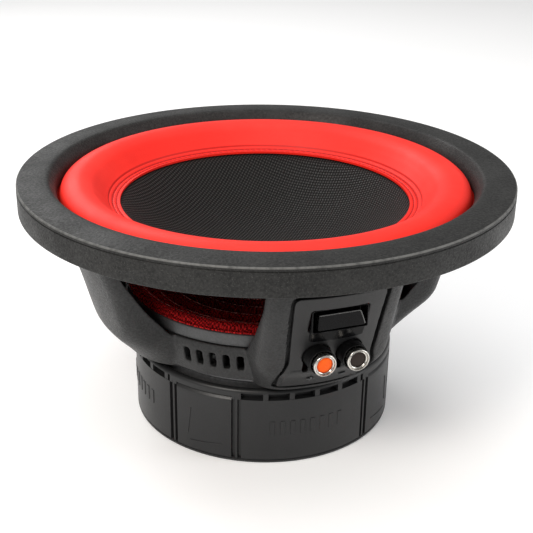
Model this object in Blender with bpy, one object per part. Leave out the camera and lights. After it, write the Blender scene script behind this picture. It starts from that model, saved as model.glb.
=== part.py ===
"""Car subwoofer speaker, 10-inch class, standing on its magnet boot.

World frame in metres: +Z is the direction the cone faces, the boot rests on
Z = 0, the coil axis is the Z axis and the terminal panel faces -Y.
"""
import math

import bmesh
import bpy
from mathutils import Matrix, Vector

MM = 0.001

# ------------------------------------------------------------ driving dimensions (mm)
GAP = 0.3                       # clearance between pieces that touch
TRIM_R = 135.0
TRIM_BOTTOM_Z = 128.3
TRIM_EDGE_Z = 142.7
TRIM_TOP_Z = 144.0
TRIM_INNER_R = 111.2

FLANGE_R = 128.0
FLANGE_Z0 = 125.4
FLANGE_Z1 = 128.0
MOUNT_HOLE_R = 2.6
MOUNT_HOLE_CIRCLE_R = 123.0
MOUNT_HOLE_COUNT = 8

ARM_OUTLINE = (                 # outer side of the basket arms (radius, height)
    (81.0, 49.5),
    (83.2, 52.0),
    (86.6, 56.0),
    (90.4, 60.0),
    (94.2, 64.0),
    (97.2, 68.0),
    (98.5, 72.0),
    (100.7, 80.0),
    (103.9, 92.0),
    (107.5, 104.0),
    (112.0, 118.0),
    (113.0, 125.4),
)
TERMINAL_ARM_HALF = 36.0        # half widths of the parallel-sided arms
SIDE_ARM_HALF = 43.5
ARM_WALL = 3.2
WINDOW_Z0 = 72.0
WINDOW_Z1 = 121.0
BAND_R = 79.6                   # recessed band under each window
BAND_INNER_R = 72.0
BAND_Z0 = 51.6
SEAT_Z = 72.4                   # shelf that carries the spider ring
FLOOR_Z0 = 53.4
FLOOR_Z1 = 56.4
FLOOR_INNER_R = 31.0
SLOT_COUNT = 5
SLOT_STEP = math.radians(5.6)
SLOT_AZIMUTH = math.radians(40.2)
SLOT_HALF_W = 1.5
SLOT_Z0 = 58.2
SLOT_Z1 = 66.6

BOOT_R = 74.5
BOOT_INNER_R = 69.7
BOOT_TOP_Z = 47.0
BOOT_LIP_R = 61.0
BOOT_LIP_Z = 2.4
BOOT_ROUND_Z = 42.5              # where the rounding of the top edge begins
BOOT_TOP_R = 71.1
PANEL_COUNT = 4                 # narrow boot panels, one under each window
PANEL_HALF_ANGLE = math.radians(14.4)
PANEL_FIRST = math.radians(44.0)
GROOVE_HALF_W = 1.1
GROOVE_DEPTH = 1.2
GROOVE_Z0 = 2.6
GROOVE_Z1 = 39.0

MOTOR_R = 69.2
BACK_PLATE_Z0 = 2.7
BACK_PLATE_Z1 = 10.8
POLE_R = 24.2
POLE_TOP_Z = 53.1
VENT_R = 9.0
MAGNET_INNER_R = 33.0
MAGNET_SPLIT_Z = 28.9
TOP_PLATE_Z0 = 47.3
TOP_PLATE_Z1 = 53.1
TOP_PLATE_INNER_R = 28.6
BASKET_SCREW_CIRCLE_R = 62.0
BASKET_SCREW_COUNT = 4

FORMER_R0 = 24.9
FORMER_R1 = 25.6
FORMER_Z0 = 34.0
FORMER_Z1 = 91.0
WINDING_R0 = 25.9
WINDING_R1 = 27.4
WINDING_Z0 = 36.0
WINDING_Z1 = 64.0

RING_R0 = 71.4
RING_R1 = 78.0
RING_Z0 = 72.7
RING_Z1 = 79.6
SPIDER_T = 0.8
SPIDER_FLANGE_Z = 80.3
SPIDER_MID_Z = 76.6
SPIDER_WAVE = 2.2
SPIDER_PITCH = 9.5
SPIDER_CREST_R = 62.2
SPIDER_INNER_R = 25.95

SURROUND_T = 1.3
SURROUND_OUTLINE = (            # middle line of the half roll (radius, height)
    (121.0, 129.0),
    (112.6, 129.0),
    (110.5, 131.0),
    (110.0, 135.0),
    (109.0, 138.3),
    (105.8, 140.9),
    (101.0, 141.4),
    (95.8, 139.0),
    (91.6, 134.6),
    (88.2, 130.6),
    (85.4, 127.9),
    (83.4, 126.9),
    (79.9, 126.7),
)
DISH_OUTLINE = (                # upper face of the woven dish (radius, height)
    (84.0, 125.6),
    (80.4, 125.3),
    (77.4, 124.2),
    (70.0, 118.8),
    (61.0, 112.6),
    (48.0, 105.2),
    (32.0, 99.4),
    (15.0, 96.4),
)
DISH_CENTRE_Z = 95.9
DISH_T = 1.2
CONE_T = 1.4
CONE_NECK_R = 26.0
CONE_NECK_Z = 84.0
CONE_RIM_R = 80.6

PANEL_T = 2.4
PANEL_OUTLINE = (               # terminal panel seen from the front (x, z)
    (-24.2, 115.4),
    (24.2, 115.4),
    (21.9, 74.5),
    (24.8, 64.5),
    (22.5, 53.0),
    (-22.5, 53.0),
    (-24.8, 64.5),
    (-21.9, 74.5),
)
PANEL_CLEAR = 0.9
POCKET_HALF_W = 15.2
POCKET_Z0 = 94.2
POCKET_Z1 = 107.2

PUSH_X = 8.8
PUSH_Z = 78.6
BODY_R = 6.9
BODY_BORE_R = 6.25
BODY_BACK_Y = -95.5
BODY_FRONT_Y = -107.0
CAP_R = 5.9
CAP_FRONT_Y = -110.5
CAP_BACK_Y = -101.4
INSERT_R = 4.55
INSERT_BACK_Y = -107.4
CONTACT_R = 1.5
ENTRY_HALF_W = 1.1
ENTRY_OFF = 4.4                 # wire entry lies this far beside its barrel's centre
ENTRY_Z0 = 69.0
ENTRY_Z1 = 77.6
LEAD_R = 0.9

ROUND_SEGMENTS = 48
BASKET_SEGMENTS = 40
SOFT_SEGMENTS = 32
SMALL_SEGMENTS = 16


# ------------------------------------------------------------ helpers
def clear_scene():
    for thing in list(bpy.data.objects):
        bpy.data.objects.remove(thing, do_unlink=True)


def material(name, colour, roughness, metallic=0.0):
    mat = bpy.data.materials.new(name)
    mat.use_nodes = True
    shader = mat.node_tree.nodes["Principled BSDF"]
    shader.inputs["Base Color"].default_value = (*colour, 1.0)
    shader.inputs["Roughness"].default_value = roughness
    shader.inputs["Metallic"].default_value = metallic
    mat.diffuse_color = (*colour, 1.0)
    return mat


def finish_object(name, bm, mat, smooth=True):
    bmesh.ops.recalc_face_normals(bm, faces=bm.faces)
    mesh = bpy.data.meshes.new(name)
    bm.to_mesh(mesh)
    bm.free()
    obj = bpy.data.objects.new(name, mesh)
    bpy.context.scene.collection.objects.link(obj)
    if mat is not None:
        mesh.materials.append(mat)
    if smooth:
        mesh.shade_smooth()
    return obj


def ring_point(radius, height, angle):
    """Angle 0 looks along -Y, a quarter turn looks along +X."""
    return (radius * MM * math.sin(angle), -radius * MM * math.cos(angle), height * MM)


def revolve(name, profile, segments, mat, phase=0.0):
    """Closed body of revolution from a closed profile of (radius, height) in mm."""
    bm = bmesh.new()
    rings = []
    for radius, height in profile:
        if radius < 1e-6:
            rings.append([bm.verts.new((0.0, 0.0, height * MM))])
            continue
        ring = []
        for i in range(segments):
            angle = phase + 2.0 * math.pi * i / segments
            ring.append(bm.verts.new(ring_point(radius, height, angle)))
        rings.append(ring)
    for a, b in zip(rings, rings[1:] + rings[:1]):
        if len(a) == 1 and len(b) == 1:
            continue
        for i in range(segments):
            j = (i + 1) % segments
            if len(a) == 1:
                bm.faces.new((a[0], b[i], b[j]))
            elif len(b) == 1:
                bm.faces.new((a[i], b[0], a[j]))
            else:
                bm.faces.new((a[i], b[i], b[j], a[j]))
    return finish_object(name, bm, mat)


def prism_y(name, outline, y0, y1, mat):
    """Outline of (x, z) in mm carried along Y from y0 to y1."""
    bm = bmesh.new()
    near = [bm.verts.new((x * MM, y0 * MM, z * MM)) for x, z in outline]
    far = [bm.verts.new((x * MM, y1 * MM, z * MM)) for x, z in outline]
    count = len(outline)
    bm.faces.new(near)
    bm.faces.new(list(reversed(far)))
    for i in range(count):
        j = (i + 1) % count
        bm.faces.new((near[i], far[i], far[j], near[j]))
    return finish_object(name, bm, mat, smooth=False)


def prism_z(name, outline, z0, z1, mat):
    """Outline of (x, y) in mm carried up from z0 to z1."""
    bm = bmesh.new()
    low = [bm.verts.new((x * MM, y * MM, z0 * MM)) for x, y in outline]
    high = [bm.verts.new((x * MM, y * MM, z1 * MM)) for x, y in outline]
    count = len(outline)
    bm.faces.new(low)
    bm.faces.new(list(reversed(high)))
    for i in range(count):
        j = (i + 1) % count
        bm.faces.new((low[i], high[i], high[j], low[j]))
    return finish_object(name, bm, mat, smooth=False)


def box(name, low, high, mat):
    outline = ((low[0], low[1]), (high[0], low[1]), (high[0], high[1]), (low[0], high[1]))
    return prism_z(name, outline, low[2], high[2], mat)


def revolve_y(name, profile, centre_x, centre_z, segments, mat):
    """Closed body about an axis along Y from a profile of (radius, y) in mm, origin on the axis."""
    obj = revolve(name, [(radius, -y) for radius, y in profile], segments, mat)
    obj.data.transform(Matrix.Rotation(math.radians(90.0), 4, "X"))
    obj.location = (centre_x * MM, 0.0, centre_z * MM)
    return obj


def boolean(target, cutter, operation="DIFFERENCE"):
    cutter.hide_render = True
    cutter.display_type = "WIRE"
    bpy.context.view_layer.update()
    modifier = target.modifiers.new("cut", "BOOLEAN")
    modifier.operation = operation
    modifier.solver = "EXACT"
    modifier.object = cutter
    depsgraph = bpy.context.evaluated_depsgraph_get()
    evaluated = target.evaluated_get(depsgraph)
    mesh = bpy.data.meshes.new_from_object(evaluated, depsgraph=depsgraph)
    target.modifiers.clear()
    target.data = mesh
    bpy.data.objects.remove(cutter, do_unlink=True)


def smooth_by_angle(obj, degrees=32.0):
    mesh = obj.data
    mesh.shade_smooth()
    mesh.set_sharp_from_angle(angle=math.radians(degrees))


def put_origin(obj, point):
    """Moves the origin to a point given in mm and keeps the shape where it is."""
    offset = Vector(point) * MM - obj.location
    obj.data.transform(Matrix.Translation(-offset))
    obj.location = obj.location + offset


def offset_profile(line, thickness):
    """Closed profile around an open line of (radius, height)."""
    left, right = [], []
    count = len(line)
    for i in range(count):
        before = Vector(line[max(i - 1, 0)])
        after = Vector(line[min(i + 1, count - 1)])
        along = (after - before).normalized()
        normal = Vector((-along.y, along.x))
        here = Vector(line[i])
        left.append(tuple(here + normal * thickness * 0.5))
        right.append(tuple(here - normal * thickness * 0.5))
    return left + right[::-1]


def tube(name, points, radius, mat, sides=6, steps=5):
    """Round cord through the given points (mm), with filled ends."""
    curve = bpy.data.curves.new(name, "CURVE")
    curve.dimensions = "3D"
    curve.bevel_depth = radius * MM
    curve.bevel_resolution = max(0, sides // 2 - 2)
    curve.resolution_u = steps
    curve.render_resolution_u = steps
    curve.use_fill_caps = True
    spline = curve.splines.new("BEZIER")
    spline.bezier_points.add(len(points) - 1)
    for knot, point in zip(spline.bezier_points, points):
        knot.co = Vector(point) * MM
        knot.handle_left_type = "AUTO"
        knot.handle_right_type = "AUTO"
    holder = bpy.data.objects.new(name + "_curve", curve)
    bpy.context.scene.collection.objects.link(holder)
    bpy.context.view_layer.update()
    depsgraph = bpy.context.evaluated_depsgraph_get()
    mesh = bpy.data.meshes.new_from_object(holder.evaluated_get(depsgraph))
    bpy.data.objects.remove(holder, do_unlink=True)
    bm = bmesh.new()
    bm.from_mesh(mesh)
    bmesh.ops.remove_doubles(bm, verts=bm.verts, dist=1e-6)
    return finish_object(name, bm, mat)


# ------------------------------------------------------------ materials
RUBBER_TRIM = material("trim_rubber", (0.035, 0.036, 0.038), 0.75)
RED_FOAM = material("red_surround", (0.86, 0.055, 0.045), 0.55)
WOVEN = material("woven_black", (0.02, 0.02, 0.022), 0.45)
PAPER = material("cone_paper", (0.018, 0.018, 0.02), 0.8)
BASKET_PAINT = material("basket_paint", (0.05, 0.052, 0.056), 0.5, 0.2)
RING_PAINT = material("spider_ring_grey", (0.16, 0.165, 0.17), 0.5, 0.1)
RED_CLOTH = material("spider_cloth", (0.42, 0.015, 0.02), 0.9)
STEEL = material("zinc_steel", (0.62, 0.63, 0.64), 0.32, 1.0)
FERRITE = material("ferrite", (0.03, 0.03, 0.032), 0.6)
ALUMINIUM = material("coil_former", (0.5, 0.5, 0.51), 0.35, 0.9)
COPPER = material("copper_wire", (0.72, 0.32, 0.14), 0.35, 1.0)
BOOT_RUBBER = material("boot_rubber", (0.03, 0.031, 0.034), 0.5)
PANEL_PLASTIC = material("panel_plastic", (0.06, 0.062, 0.066), 0.5)
GLOSS_BLACK = material("gloss_black", (0.008, 0.008, 0.009), 0.15)
BODY_PLASTIC = material("terminal_body", (0.01, 0.01, 0.011), 0.4)
CHROME = material("chrome", (0.8, 0.8, 0.79), 0.12, 1.0)
ORANGE = material("orange_insert", (1.0, 0.12, 0.02), 0.45)
DARK_INSERT = material("dark_insert", (0.025, 0.02, 0.018), 0.5)
SPRING_STEEL = material("spring_steel", (0.5, 0.5, 0.5), 0.3, 1.0)
BRASS = material("brass", (0.72, 0.52, 0.2), 0.3, 1.0)
LEAD_BRAID = material("lead_braid", (0.62, 0.5, 0.36), 0.5, 0.6)


# ------------------------------------------------------------ basket and frame pieces
def arm_radius(height):
    for (r0, z0), (r1, z1) in zip(ARM_OUTLINE, ARM_OUTLINE[1:]):
        if z0 <= height <= z1:
            return r0 + (r1 - r0) * (height - z0) / (z1 - z0)
    return ARM_OUTLINE[0][0] if height < ARM_OUTLINE[0][1] else ARM_OUTLINE[-1][0]


def window_box(name, sx, sy, z0, z1):
    """Space between a terminal arm and a side arm, in the quadrant given by the signs."""
    xs = sorted((sx * TERMINAL_ARM_HALF, sx * 150.0))
    ys = sorted((sy * SIDE_ARM_HALF, sy * 150.0))
    return box(name, (xs[0], ys[0], z0), (xs[1], ys[1], z1), None)


def build_basket():
    inner_cone = (
        (104.0, 128.0),
        (105.0, 117.0),
        (102.0, 106.0),
        (91.7, 88.0),
        (80.6, SEAT_Z + 0.6),
        (79.2, SEAT_Z),
    )
    profile = [
        (FLOOR_INNER_R, FLOOR_Z0),
        (70.2, FLOOR_Z0),
        (70.2, 49.5),
        *ARM_OUTLINE,
        (FLANGE_R, FLANGE_Z0),
        (FLANGE_R, FLANGE_Z1),
        *inner_cone,
        (BAND_INNER_R, SEAT_Z),
        (BAND_INNER_R, FLOOR_Z1 + 2.0),
        (BAND_INNER_R - 2.0, FLOOR_Z1),
        (FLOOR_INNER_R, FLOOR_Z1),
    ]
    basket = revolve("basket", profile, BASKET_SEGMENTS, BASKET_PAINT)

    for sx in (-1, 1):
        for sy in (-1, 1):
            boolean(basket, window_box("window_cutter", sx, sy, WINDOW_Z0, WINDOW_Z1))

    for sx in (-1, 1):
        for sy in (-1, 1):
            start = math.asin(TERMINAL_ARM_HALF / BAND_R)
            end = math.acos(SIDE_ARM_HALF / BAND_R)
            outline = []
            steps = 8
            for i in range(steps + 1):
                angle = start + (end - start) * i / steps
                outline.append((sx * BAND_R * math.sin(angle), sy * BAND_R * math.cos(angle)))
            outline.append((sx * 150.0, sy * SIDE_ARM_HALF))
            outline.append((sx * 150.0, sy * 150.0))
            outline.append((sx * TERMINAL_ARM_HALF, sy * 150.0))
            boolean(basket, prism_z("band_cutter", outline, 40.0, WINDOW_Z0 + 0.5, None))
            boolean(basket, window_box("arch_cutter", sx, sy, 40.0, BAND_Z0))

    pocket_profile = [
        (74.5, 60.0),
        (88.0, 62.5),
        (94.2, 68.6),
        (97.4, 80.0),
        (100.6, 92.0),
        (104.0, 104.0),
        (107.0, 113.5),
        (96.0, 113.5),
        (78.0, 88.0),
        (70.0, 71.0),
        (70.0, 60.0),
    ]
    for quarter in range(4):
        half = (TERMINAL_ARM_HALF, SIDE_ARM_HALF)[quarter % 2]
        inside = half - ARM_WALL
        pocket = revolve("pocket_cutter", pocket_profile, BASKET_SEGMENTS, None)
        slab = box("slab", (-inside, -150.0, 50.0), (inside, -40.0, 130.0), None)
        slab.data.transform(Matrix.Rotation(math.radians(90.0) * quarter, 4, "Z"))
        boolean(pocket, slab, "INTERSECT")
        keep = revolve("keep", [(0.0, 50.0), (79.2, 50.0), (79.2, SEAT_Z), (0.0, SEAT_Z)],
                       BASKET_SEGMENTS, None)
        boolean(pocket, keep)
        boolean(basket, pocket)

    for sx in (-1, 1):
        for sy in (-1, 1):
            for i in range(SLOT_COUNT):
                angle = SLOT_AZIMUTH + (i - (SLOT_COUNT - 1) / 2.0) * SLOT_STEP
                chamfer = 0.7
                outline = (
                    (-SLOT_HALF_W, SLOT_Z0 + chamfer),
                    (-SLOT_HALF_W + chamfer, SLOT_Z0),
                    (SLOT_HALF_W - chamfer, SLOT_Z0),
                    (SLOT_HALF_W, SLOT_Z0 + chamfer),
                    (SLOT_HALF_W, SLOT_Z1 - chamfer),
                    (SLOT_HALF_W - chamfer, SLOT_Z1),
                    (-SLOT_HALF_W + chamfer, SLOT_Z1),
                    (-SLOT_HALF_W, SLOT_Z1 - chamfer),
                )
                slot = prism_y("slot_cutter", outline, -90.0, -60.0, None)
                turn = angle if sy > 0 else math.pi - angle
                slot.data.transform(Matrix.Rotation(sx * turn, 4, "Z"))
                boolean(basket, slot)

    for i in range(MOUNT_HOLE_COUNT):
        angle = math.radians(22.5) + 2.0 * math.pi * i / MOUNT_HOLE_COUNT
        hole_profile = [(0.0, 120.0), (MOUNT_HOLE_R, 120.0), (MOUNT_HOLE_R, 132.0), (0.0, 132.0)]
        hole = revolve("hole_cutter", hole_profile, 12, None)
        hole.location = ring_point(MOUNT_HOLE_CIRCLE_R, 0.0, angle)
        boolean(basket, hole)

    for i in range(BASKET_SCREW_COUNT):
        angle = math.radians(45.0) + 2.0 * math.pi * i / BASKET_SCREW_COUNT
        hole = revolve("hole_cutter", [(0.0, 50.0), (2.3, 50.0), (2.3, 60.0), (0.0, 60.0)], 12, None)
        hole.location = ring_point(BASKET_SCREW_CIRCLE_R, 0.0, angle)
        boolean(basket, hole)

    wide = []
    for x, z in PANEL_OUTLINE:
        grow_z = PANEL_CLEAR if z > 100.0 else (-PANEL_CLEAR if z < 54.0 else 0.0)
        wide.append((x + math.copysign(PANEL_CLEAR, x), z + grow_z))
    recess = prism_y("recess_cutter", wide, -130.0, -60.0, None)
    core = revolve("core", panel_core_profile(PANEL_T + GAP), BASKET_SEGMENTS, None)
    boolean(recess, core)
    boolean(basket, recess)

    opening = box("opening_cutter", (-19.0, -110.0, 66.6), (19.0, -83.0, 109.5), None)
    boolean(basket, opening)
    smooth_by_angle(basket)
    return basket


def panel_core_profile(depth):
    """Solid of revolution that fills the basket up to a depth below the arm surface."""
    shifted = []
    for radius, height in ARM_OUTLINE:
        shifted.append((radius - depth, height))
    return [(0.0, 40.0), (shifted[0][0] - 3.0, 40.0), *shifted, (shifted[-1][0], 135.0), (0.0, 135.0)]


def build_terminal_panel():
    panel = prism_y("terminal_panel", PANEL_OUTLINE, -130.0, -60.0, PANEL_PLASTIC)
    core = revolve("core", panel_core_profile(PANEL_T), BASKET_SEGMENTS, None)
    boolean(panel, core)
    skin = revolve("skin", panel_core_profile(0.0), BASKET_SEGMENTS, None)
    boolean(panel, skin, "INTERSECT")
    pocket = box("pocket", (-POCKET_HALF_W, -130.0, POCKET_Z0), (POCKET_HALF_W, -60.0, POCKET_Z1), None)
    boolean(panel, pocket)
    for side in (-1, 1):
        hole = revolve_y("hole", [(0.0, -60.0), (BODY_R + GAP, -60.0), (BODY_R + GAP, -130.0), (0.0, -130.0)],
                         side * PUSH_X, PUSH_Z, SMALL_SEGMENTS, None)
        boolean(panel, hole)
        centre = side * PUSH_X - ENTRY_OFF
        entry = box("entry", (centre - ENTRY_HALF_W, -130.0, ENTRY_Z0),
                    (centre + ENTRY_HALF_W, -60.0, ENTRY_Z1), None)
        boolean(panel, entry)
    smooth_by_angle(panel)
    return panel


def build_terminals():
    frame_front = -106.4
    outer = prism_y("recess_block", (
        (-POCKET_HALF_W + GAP, POCKET_Z0 + GAP),
        (POCKET_HALF_W - GAP, POCKET_Z0 + GAP),
        (POCKET_HALF_W - GAP, POCKET_Z1 - GAP),
        (-POCKET_HALF_W + GAP, POCKET_Z1 - GAP)), frame_front, -96.0, GLOSS_BLACK)
    hollow = box("hollow", (-POCKET_HALF_W + 1.6, -120.0, POCKET_Z0 + 1.6),
                 (POCKET_HALF_W - 1.6, -99.0, POCKET_Z1 - 5.4), None)
    boolean(outer, hollow)

    for side, word, insert_mat in ((-1, "left", ORANGE), (1, "right", DARK_INSERT)):
        x = side * PUSH_X
        revolve_y("terminal_body_" + word, [
            (BODY_BORE_R, BODY_FRONT_Y),
            (BODY_R, BODY_FRONT_Y),
            (BODY_R, BODY_BACK_Y),
            (CONTACT_R + GAP, BODY_BACK_Y),
            (CONTACT_R + GAP, BODY_BACK_Y - 1.6),
            (BODY_BORE_R, BODY_BACK_Y - 1.6),
        ], x, PUSH_Z, SMALL_SEGMENTS, BODY_PLASTIC)
        cap = revolve_y("push_ring_" + word, [
            (INSERT_R + GAP, CAP_FRONT_Y + 0.6),
            (INSERT_R + 0.7, CAP_FRONT_Y),
            (CAP_R - 0.4, CAP_FRONT_Y),
            (CAP_R, CAP_FRONT_Y + 0.5),
            (CAP_R, CAP_BACK_Y),
            (INSERT_R + GAP, CAP_BACK_Y),
        ], x, PUSH_Z, SMALL_SEGMENTS, CHROME)
        insert = revolve_y("push_insert_" + word, [
            (0.0, CAP_FRONT_Y + 0.7),
            (INSERT_R - 0.5, CAP_FRONT_Y + 0.7),
            (INSERT_R, CAP_FRONT_Y + 1.1),
            (INSERT_R, INSERT_BACK_Y),
            (0.0, INSERT_BACK_Y),
        ], x, PUSH_Z, SMALL_SEGMENTS, insert_mat)
        for piece in (cap, insert):
            put_origin(piece, (x, CAP_FRONT_Y, PUSH_Z))
        revolve_y("contact_pin_" + word, [
            (0.0, -103.8),
            (CONTACT_R - 0.4, -103.8),
            (CONTACT_R, -103.2),
            (CONTACT_R, -90.2),
            (0.0, -90.2),
        ], x, PUSH_Z, 12, BRASS)
        turns = 5
        points = []
        per_turn = 6
        start_y = BODY_BACK_Y - 2.3
        end_y = INSERT_BACK_Y + 0.65
        total = turns * per_turn
        for i in range(total + 1):
            angle = 2.0 * math.pi * i / per_turn
            radius = 3.2
            y = start_y + (end_y - start_y) * i / total
            points.append((x + radius * math.cos(angle), y, PUSH_Z + radius * math.sin(angle)))
        tube("push_spring_" + word, points, 0.3, SPRING_STEEL, sides=4, steps=1)
        prism_y("solder_lug_" + word, (
            (x - 2.2, PUSH_Z - 2.0),
            (x + 2.2, PUSH_Z - 2.0),
            (x + 2.2, PUSH_Z + 5.6),
            (x + 1.0, PUSH_Z + 7.2),
            (x - 1.0, PUSH_Z + 7.2),
            (x - 2.2, PUSH_Z + 5.6)), -89.9, -88.9, BRASS)
        tube("tinsel_lead_" + word, (
            (x, -87.4, PUSH_Z + 5.2),
            (x, -80.0, 90.5),
            (x * 1.1, -58.0, 93.5),
            (x * 1.05, -38.0, 87.6),
            (x * 0.9, -27.4, 83.0),
        ), LEAD_R, LEAD_BRAID, sides=6, steps=4)


# ------------------------------------------------------------ motor and boot
def build_boot():
    boot = revolve("magnet_boot", [
        (BOOT_LIP_R, 0.0),
        (BOOT_R - 1.0, 0.0),
        (BOOT_R, 1.2),
        (BOOT_R, BOOT_ROUND_Z),
        (BOOT_R - 1.0, BOOT_TOP_Z - 1.8),
        (BOOT_TOP_R, BOOT_TOP_Z),
        (BOOT_INNER_R, BOOT_TOP_Z),
        (BOOT_INNER_R, BOOT_LIP_Z),
        (BOOT_LIP_R, BOOT_LIP_Z),
    ], ROUND_SEGMENTS, BOOT_RUBBER)
    for i in range(PANEL_COUNT):
        centre = PANEL_FIRST + 2.0 * math.pi * i / PANEL_COUNT
        for side in (-1, 1):
            angle = centre + side * PANEL_HALF_ANGLE
            groove = box("groove", (-GROOVE_HALF_W, -BOOT_R - 3.0, GROOVE_Z0),
                         (GROOVE_HALF_W, -BOOT_R + GROOVE_DEPTH, GROOVE_Z1), None)
            groove.data.transform(Matrix.Rotation(angle, 4, "Z"))
            boolean(boot, groove)
    smooth_by_angle(boot)
    return boot


def build_motor():
    yoke = revolve("yoke", [
        (VENT_R, BACK_PLATE_Z0),
        (MOTOR_R - 1.0, BACK_PLATE_Z0),
        (MOTOR_R, BACK_PLATE_Z0 + 1.0),
        (MOTOR_R, BACK_PLATE_Z1),
        (POLE_R, BACK_PLATE_Z1),
        (POLE_R, POLE_TOP_Z),
        (VENT_R, POLE_TOP_Z),
    ], SOFT_SEGMENTS, STEEL)
    smooth_by_angle(yoke)
    for name, z0, z1 in (("magnet_lower", BACK_PLATE_Z1 + GAP, MAGNET_SPLIT_Z),
                         ("magnet_upper", MAGNET_SPLIT_Z + GAP, TOP_PLATE_Z0 - GAP)):
        magnet = revolve(name, [
            (MAGNET_INNER_R, z0),
            (MOTOR_R - 0.8, z0),
            (MOTOR_R - 0.8, z1),
            (MAGNET_INNER_R, z1),
        ], SOFT_SEGMENTS, FERRITE)
        smooth_by_angle(magnet)
    plate = revolve("top_plate", [
        (TOP_PLATE_INNER_R, TOP_PLATE_Z0),
        (MOTOR_R, TOP_PLATE_Z0),
        (MOTOR_R, TOP_PLATE_Z1),
        (TOP_PLATE_INNER_R, TOP_PLATE_Z1),
    ], SOFT_SEGMENTS, STEEL)
    for i in range(BASKET_SCREW_COUNT):
        angle = math.radians(45.0) + 2.0 * math.pi * i / BASKET_SCREW_COUNT
        hole = revolve("hole_cutter", [(0.0, 48.6), (2.3, 48.6), (2.3, 60.0), (0.0, 60.0)], 12, None)
        hole.location = ring_point(BASKET_SCREW_CIRCLE_R, 0.0, angle)
        boolean(plate, hole)
    smooth_by_angle(plate)
    for i in range(BASKET_SCREW_COUNT):
        angle = math.radians(45.0) + 2.0 * math.pi * i / BASKET_SCREW_COUNT
        screw = revolve(f"basket_screw_{i + 1}", [
            (0.0, 49.2),
            (2.0, 49.2),
            (2.0, FLOOR_Z1 + GAP),
            (4.4, FLOOR_Z1 + GAP),
            (4.2, FLOOR_Z1 + 2.0),
            (2.6, FLOOR_Z1 + 2.9),
            (0.0, FLOOR_Z1 + 2.9),
        ], 12, STEEL)
        screw.location = ring_point(BASKET_SCREW_CIRCLE_R, 0.0, angle)
        smooth_by_angle(screw)


# ------------------------------------------------------------ moving pieces
def build_soft_parts():
    surround = revolve("surround", offset_profile(SURROUND_OUTLINE, SURROUND_T), SOFT_SEGMENTS, RED_FOAM)
    smooth_by_angle(surround, 50.0)

    line = [(77.4, SPIDER_FLANGE_Z), (70.6, SPIDER_FLANGE_Z)]
    quarter = SPIDER_PITCH / 4.0
    start = SPIDER_CREST_R + 1.5 * quarter
    count = 14
    for i in range(count + 1):
        radius = start - i * quarter
        wave = math.cos(2.0 * math.pi * (radius - SPIDER_CREST_R) / SPIDER_PITCH)
        line.append((radius, SPIDER_MID_Z + SPIDER_WAVE * wave))
    line.append((SPIDER_INNER_R + 1.4, SPIDER_MID_Z))
    line.append((SPIDER_INNER_R + 0.4, SPIDER_MID_Z + 2.6))
    spider = revolve("spider", offset_profile(line, SPIDER_T), SOFT_SEGMENTS, RED_CLOTH)
    smooth_by_angle(spider, 60.0)

    revolve("spider_ring", [
        (RING_R0, RING_Z0),
        (RING_R1, RING_Z0),
        (RING_R1, RING_Z1),
        (RING_R0, RING_Z1),
    ], SOFT_SEGMENTS, RING_PAINT)


def build_diaphragm():
    top = [*DISH_OUTLINE, (0.0, DISH_CENTRE_Z)]
    under = [(radius, height - DISH_T) for radius, height in reversed(top)]
    dish = revolve("woven_dish", top + under, SOFT_SEGMENTS, WOVEN)
    smooth_by_angle(dish, 50.0)

    cone_line = [
        (CONE_RIM_R, 122.7),
        (CONE_RIM_R - 4.8, 119.6),
        (62.0, 109.5),
        (44.0, 95.8),
        (CONE_NECK_R + 1.4, CONE_NECK_Z + 1.2),
        (CONE_NECK_R + 0.7, CONE_NECK_Z - 1.6),
    ]
    cone = revolve("cone_body", offset_profile(cone_line, CONE_T), SOFT_SEGMENTS, PAPER)
    smooth_by_angle(cone, 50.0)

    revolve("coil_former", [
        (FORMER_R0, FORMER_Z0),
        (FORMER_R1, FORMER_Z0),
        (FORMER_R1, FORMER_Z1),
        (FORMER_R0, FORMER_Z1),
    ], SOFT_SEGMENTS, ALUMINIUM)
    revolve("voice_coil", [
        (WINDING_R0, WINDING_Z0),
        (WINDING_R1, WINDING_Z0),
        (WINDING_R1, WINDING_Z1),
        (WINDING_R0, WINDING_Z1),
    ], SOFT_SEGMENTS, COPPER)


def build_trim():
    trim = revolve("trim_ring", [
        (FLANGE_R + 1.0, TRIM_BOTTOM_Z),
        (TRIM_R - 0.8, TRIM_BOTTOM_Z),
        (TRIM_R, TRIM_BOTTOM_Z + 0.8),
        (TRIM_R, TRIM_EDGE_Z - 2.6),
        (TRIM_R - 0.5, TRIM_EDGE_Z - 2.3),
        (TRIM_R - 0.5, TRIM_EDGE_Z - 0.9),
        (TRIM_R - 1.6, TRIM_EDGE_Z),
        (121.0, TRIM_TOP_Z - 0.1),
        (118.4, TRIM_TOP_Z - 0.6),
        (116.8, TRIM_TOP_Z - 2.0),
        (113.6, TRIM_TOP_Z - 5.0),
        (TRIM_INNER_R + 0.6, TRIM_TOP_Z - 8.2),
        (TRIM_INNER_R + 0.6, TRIM_BOTTOM_Z + 5.6),
        (113.6, TRIM_BOTTOM_Z + 1.7),
        (FLANGE_R + 1.0, TRIM_BOTTOM_Z + 1.7),
    ], ROUND_SEGMENTS, RUBBER_TRIM)
    smooth_by_angle(trim)


clear_scene()
build_trim()
build_basket()
build_terminal_panel()
build_terminals()
build_boot()
build_motor()
build_soft_parts()
build_diaphragm()
bpy.context.view_layer.update()
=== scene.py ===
"""Looks of a 10-inch car subwoofer speaker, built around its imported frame.

Frame: metres, +Z along the coil axis, the boot stands on Z = 0, the terminal
panel faces -Y. Lengths in this file are millimetres unless a name says otherwise.
"""
import math

import bmesh
import bpy
import numpy as np
from mathutils import Matrix, Vector


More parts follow.
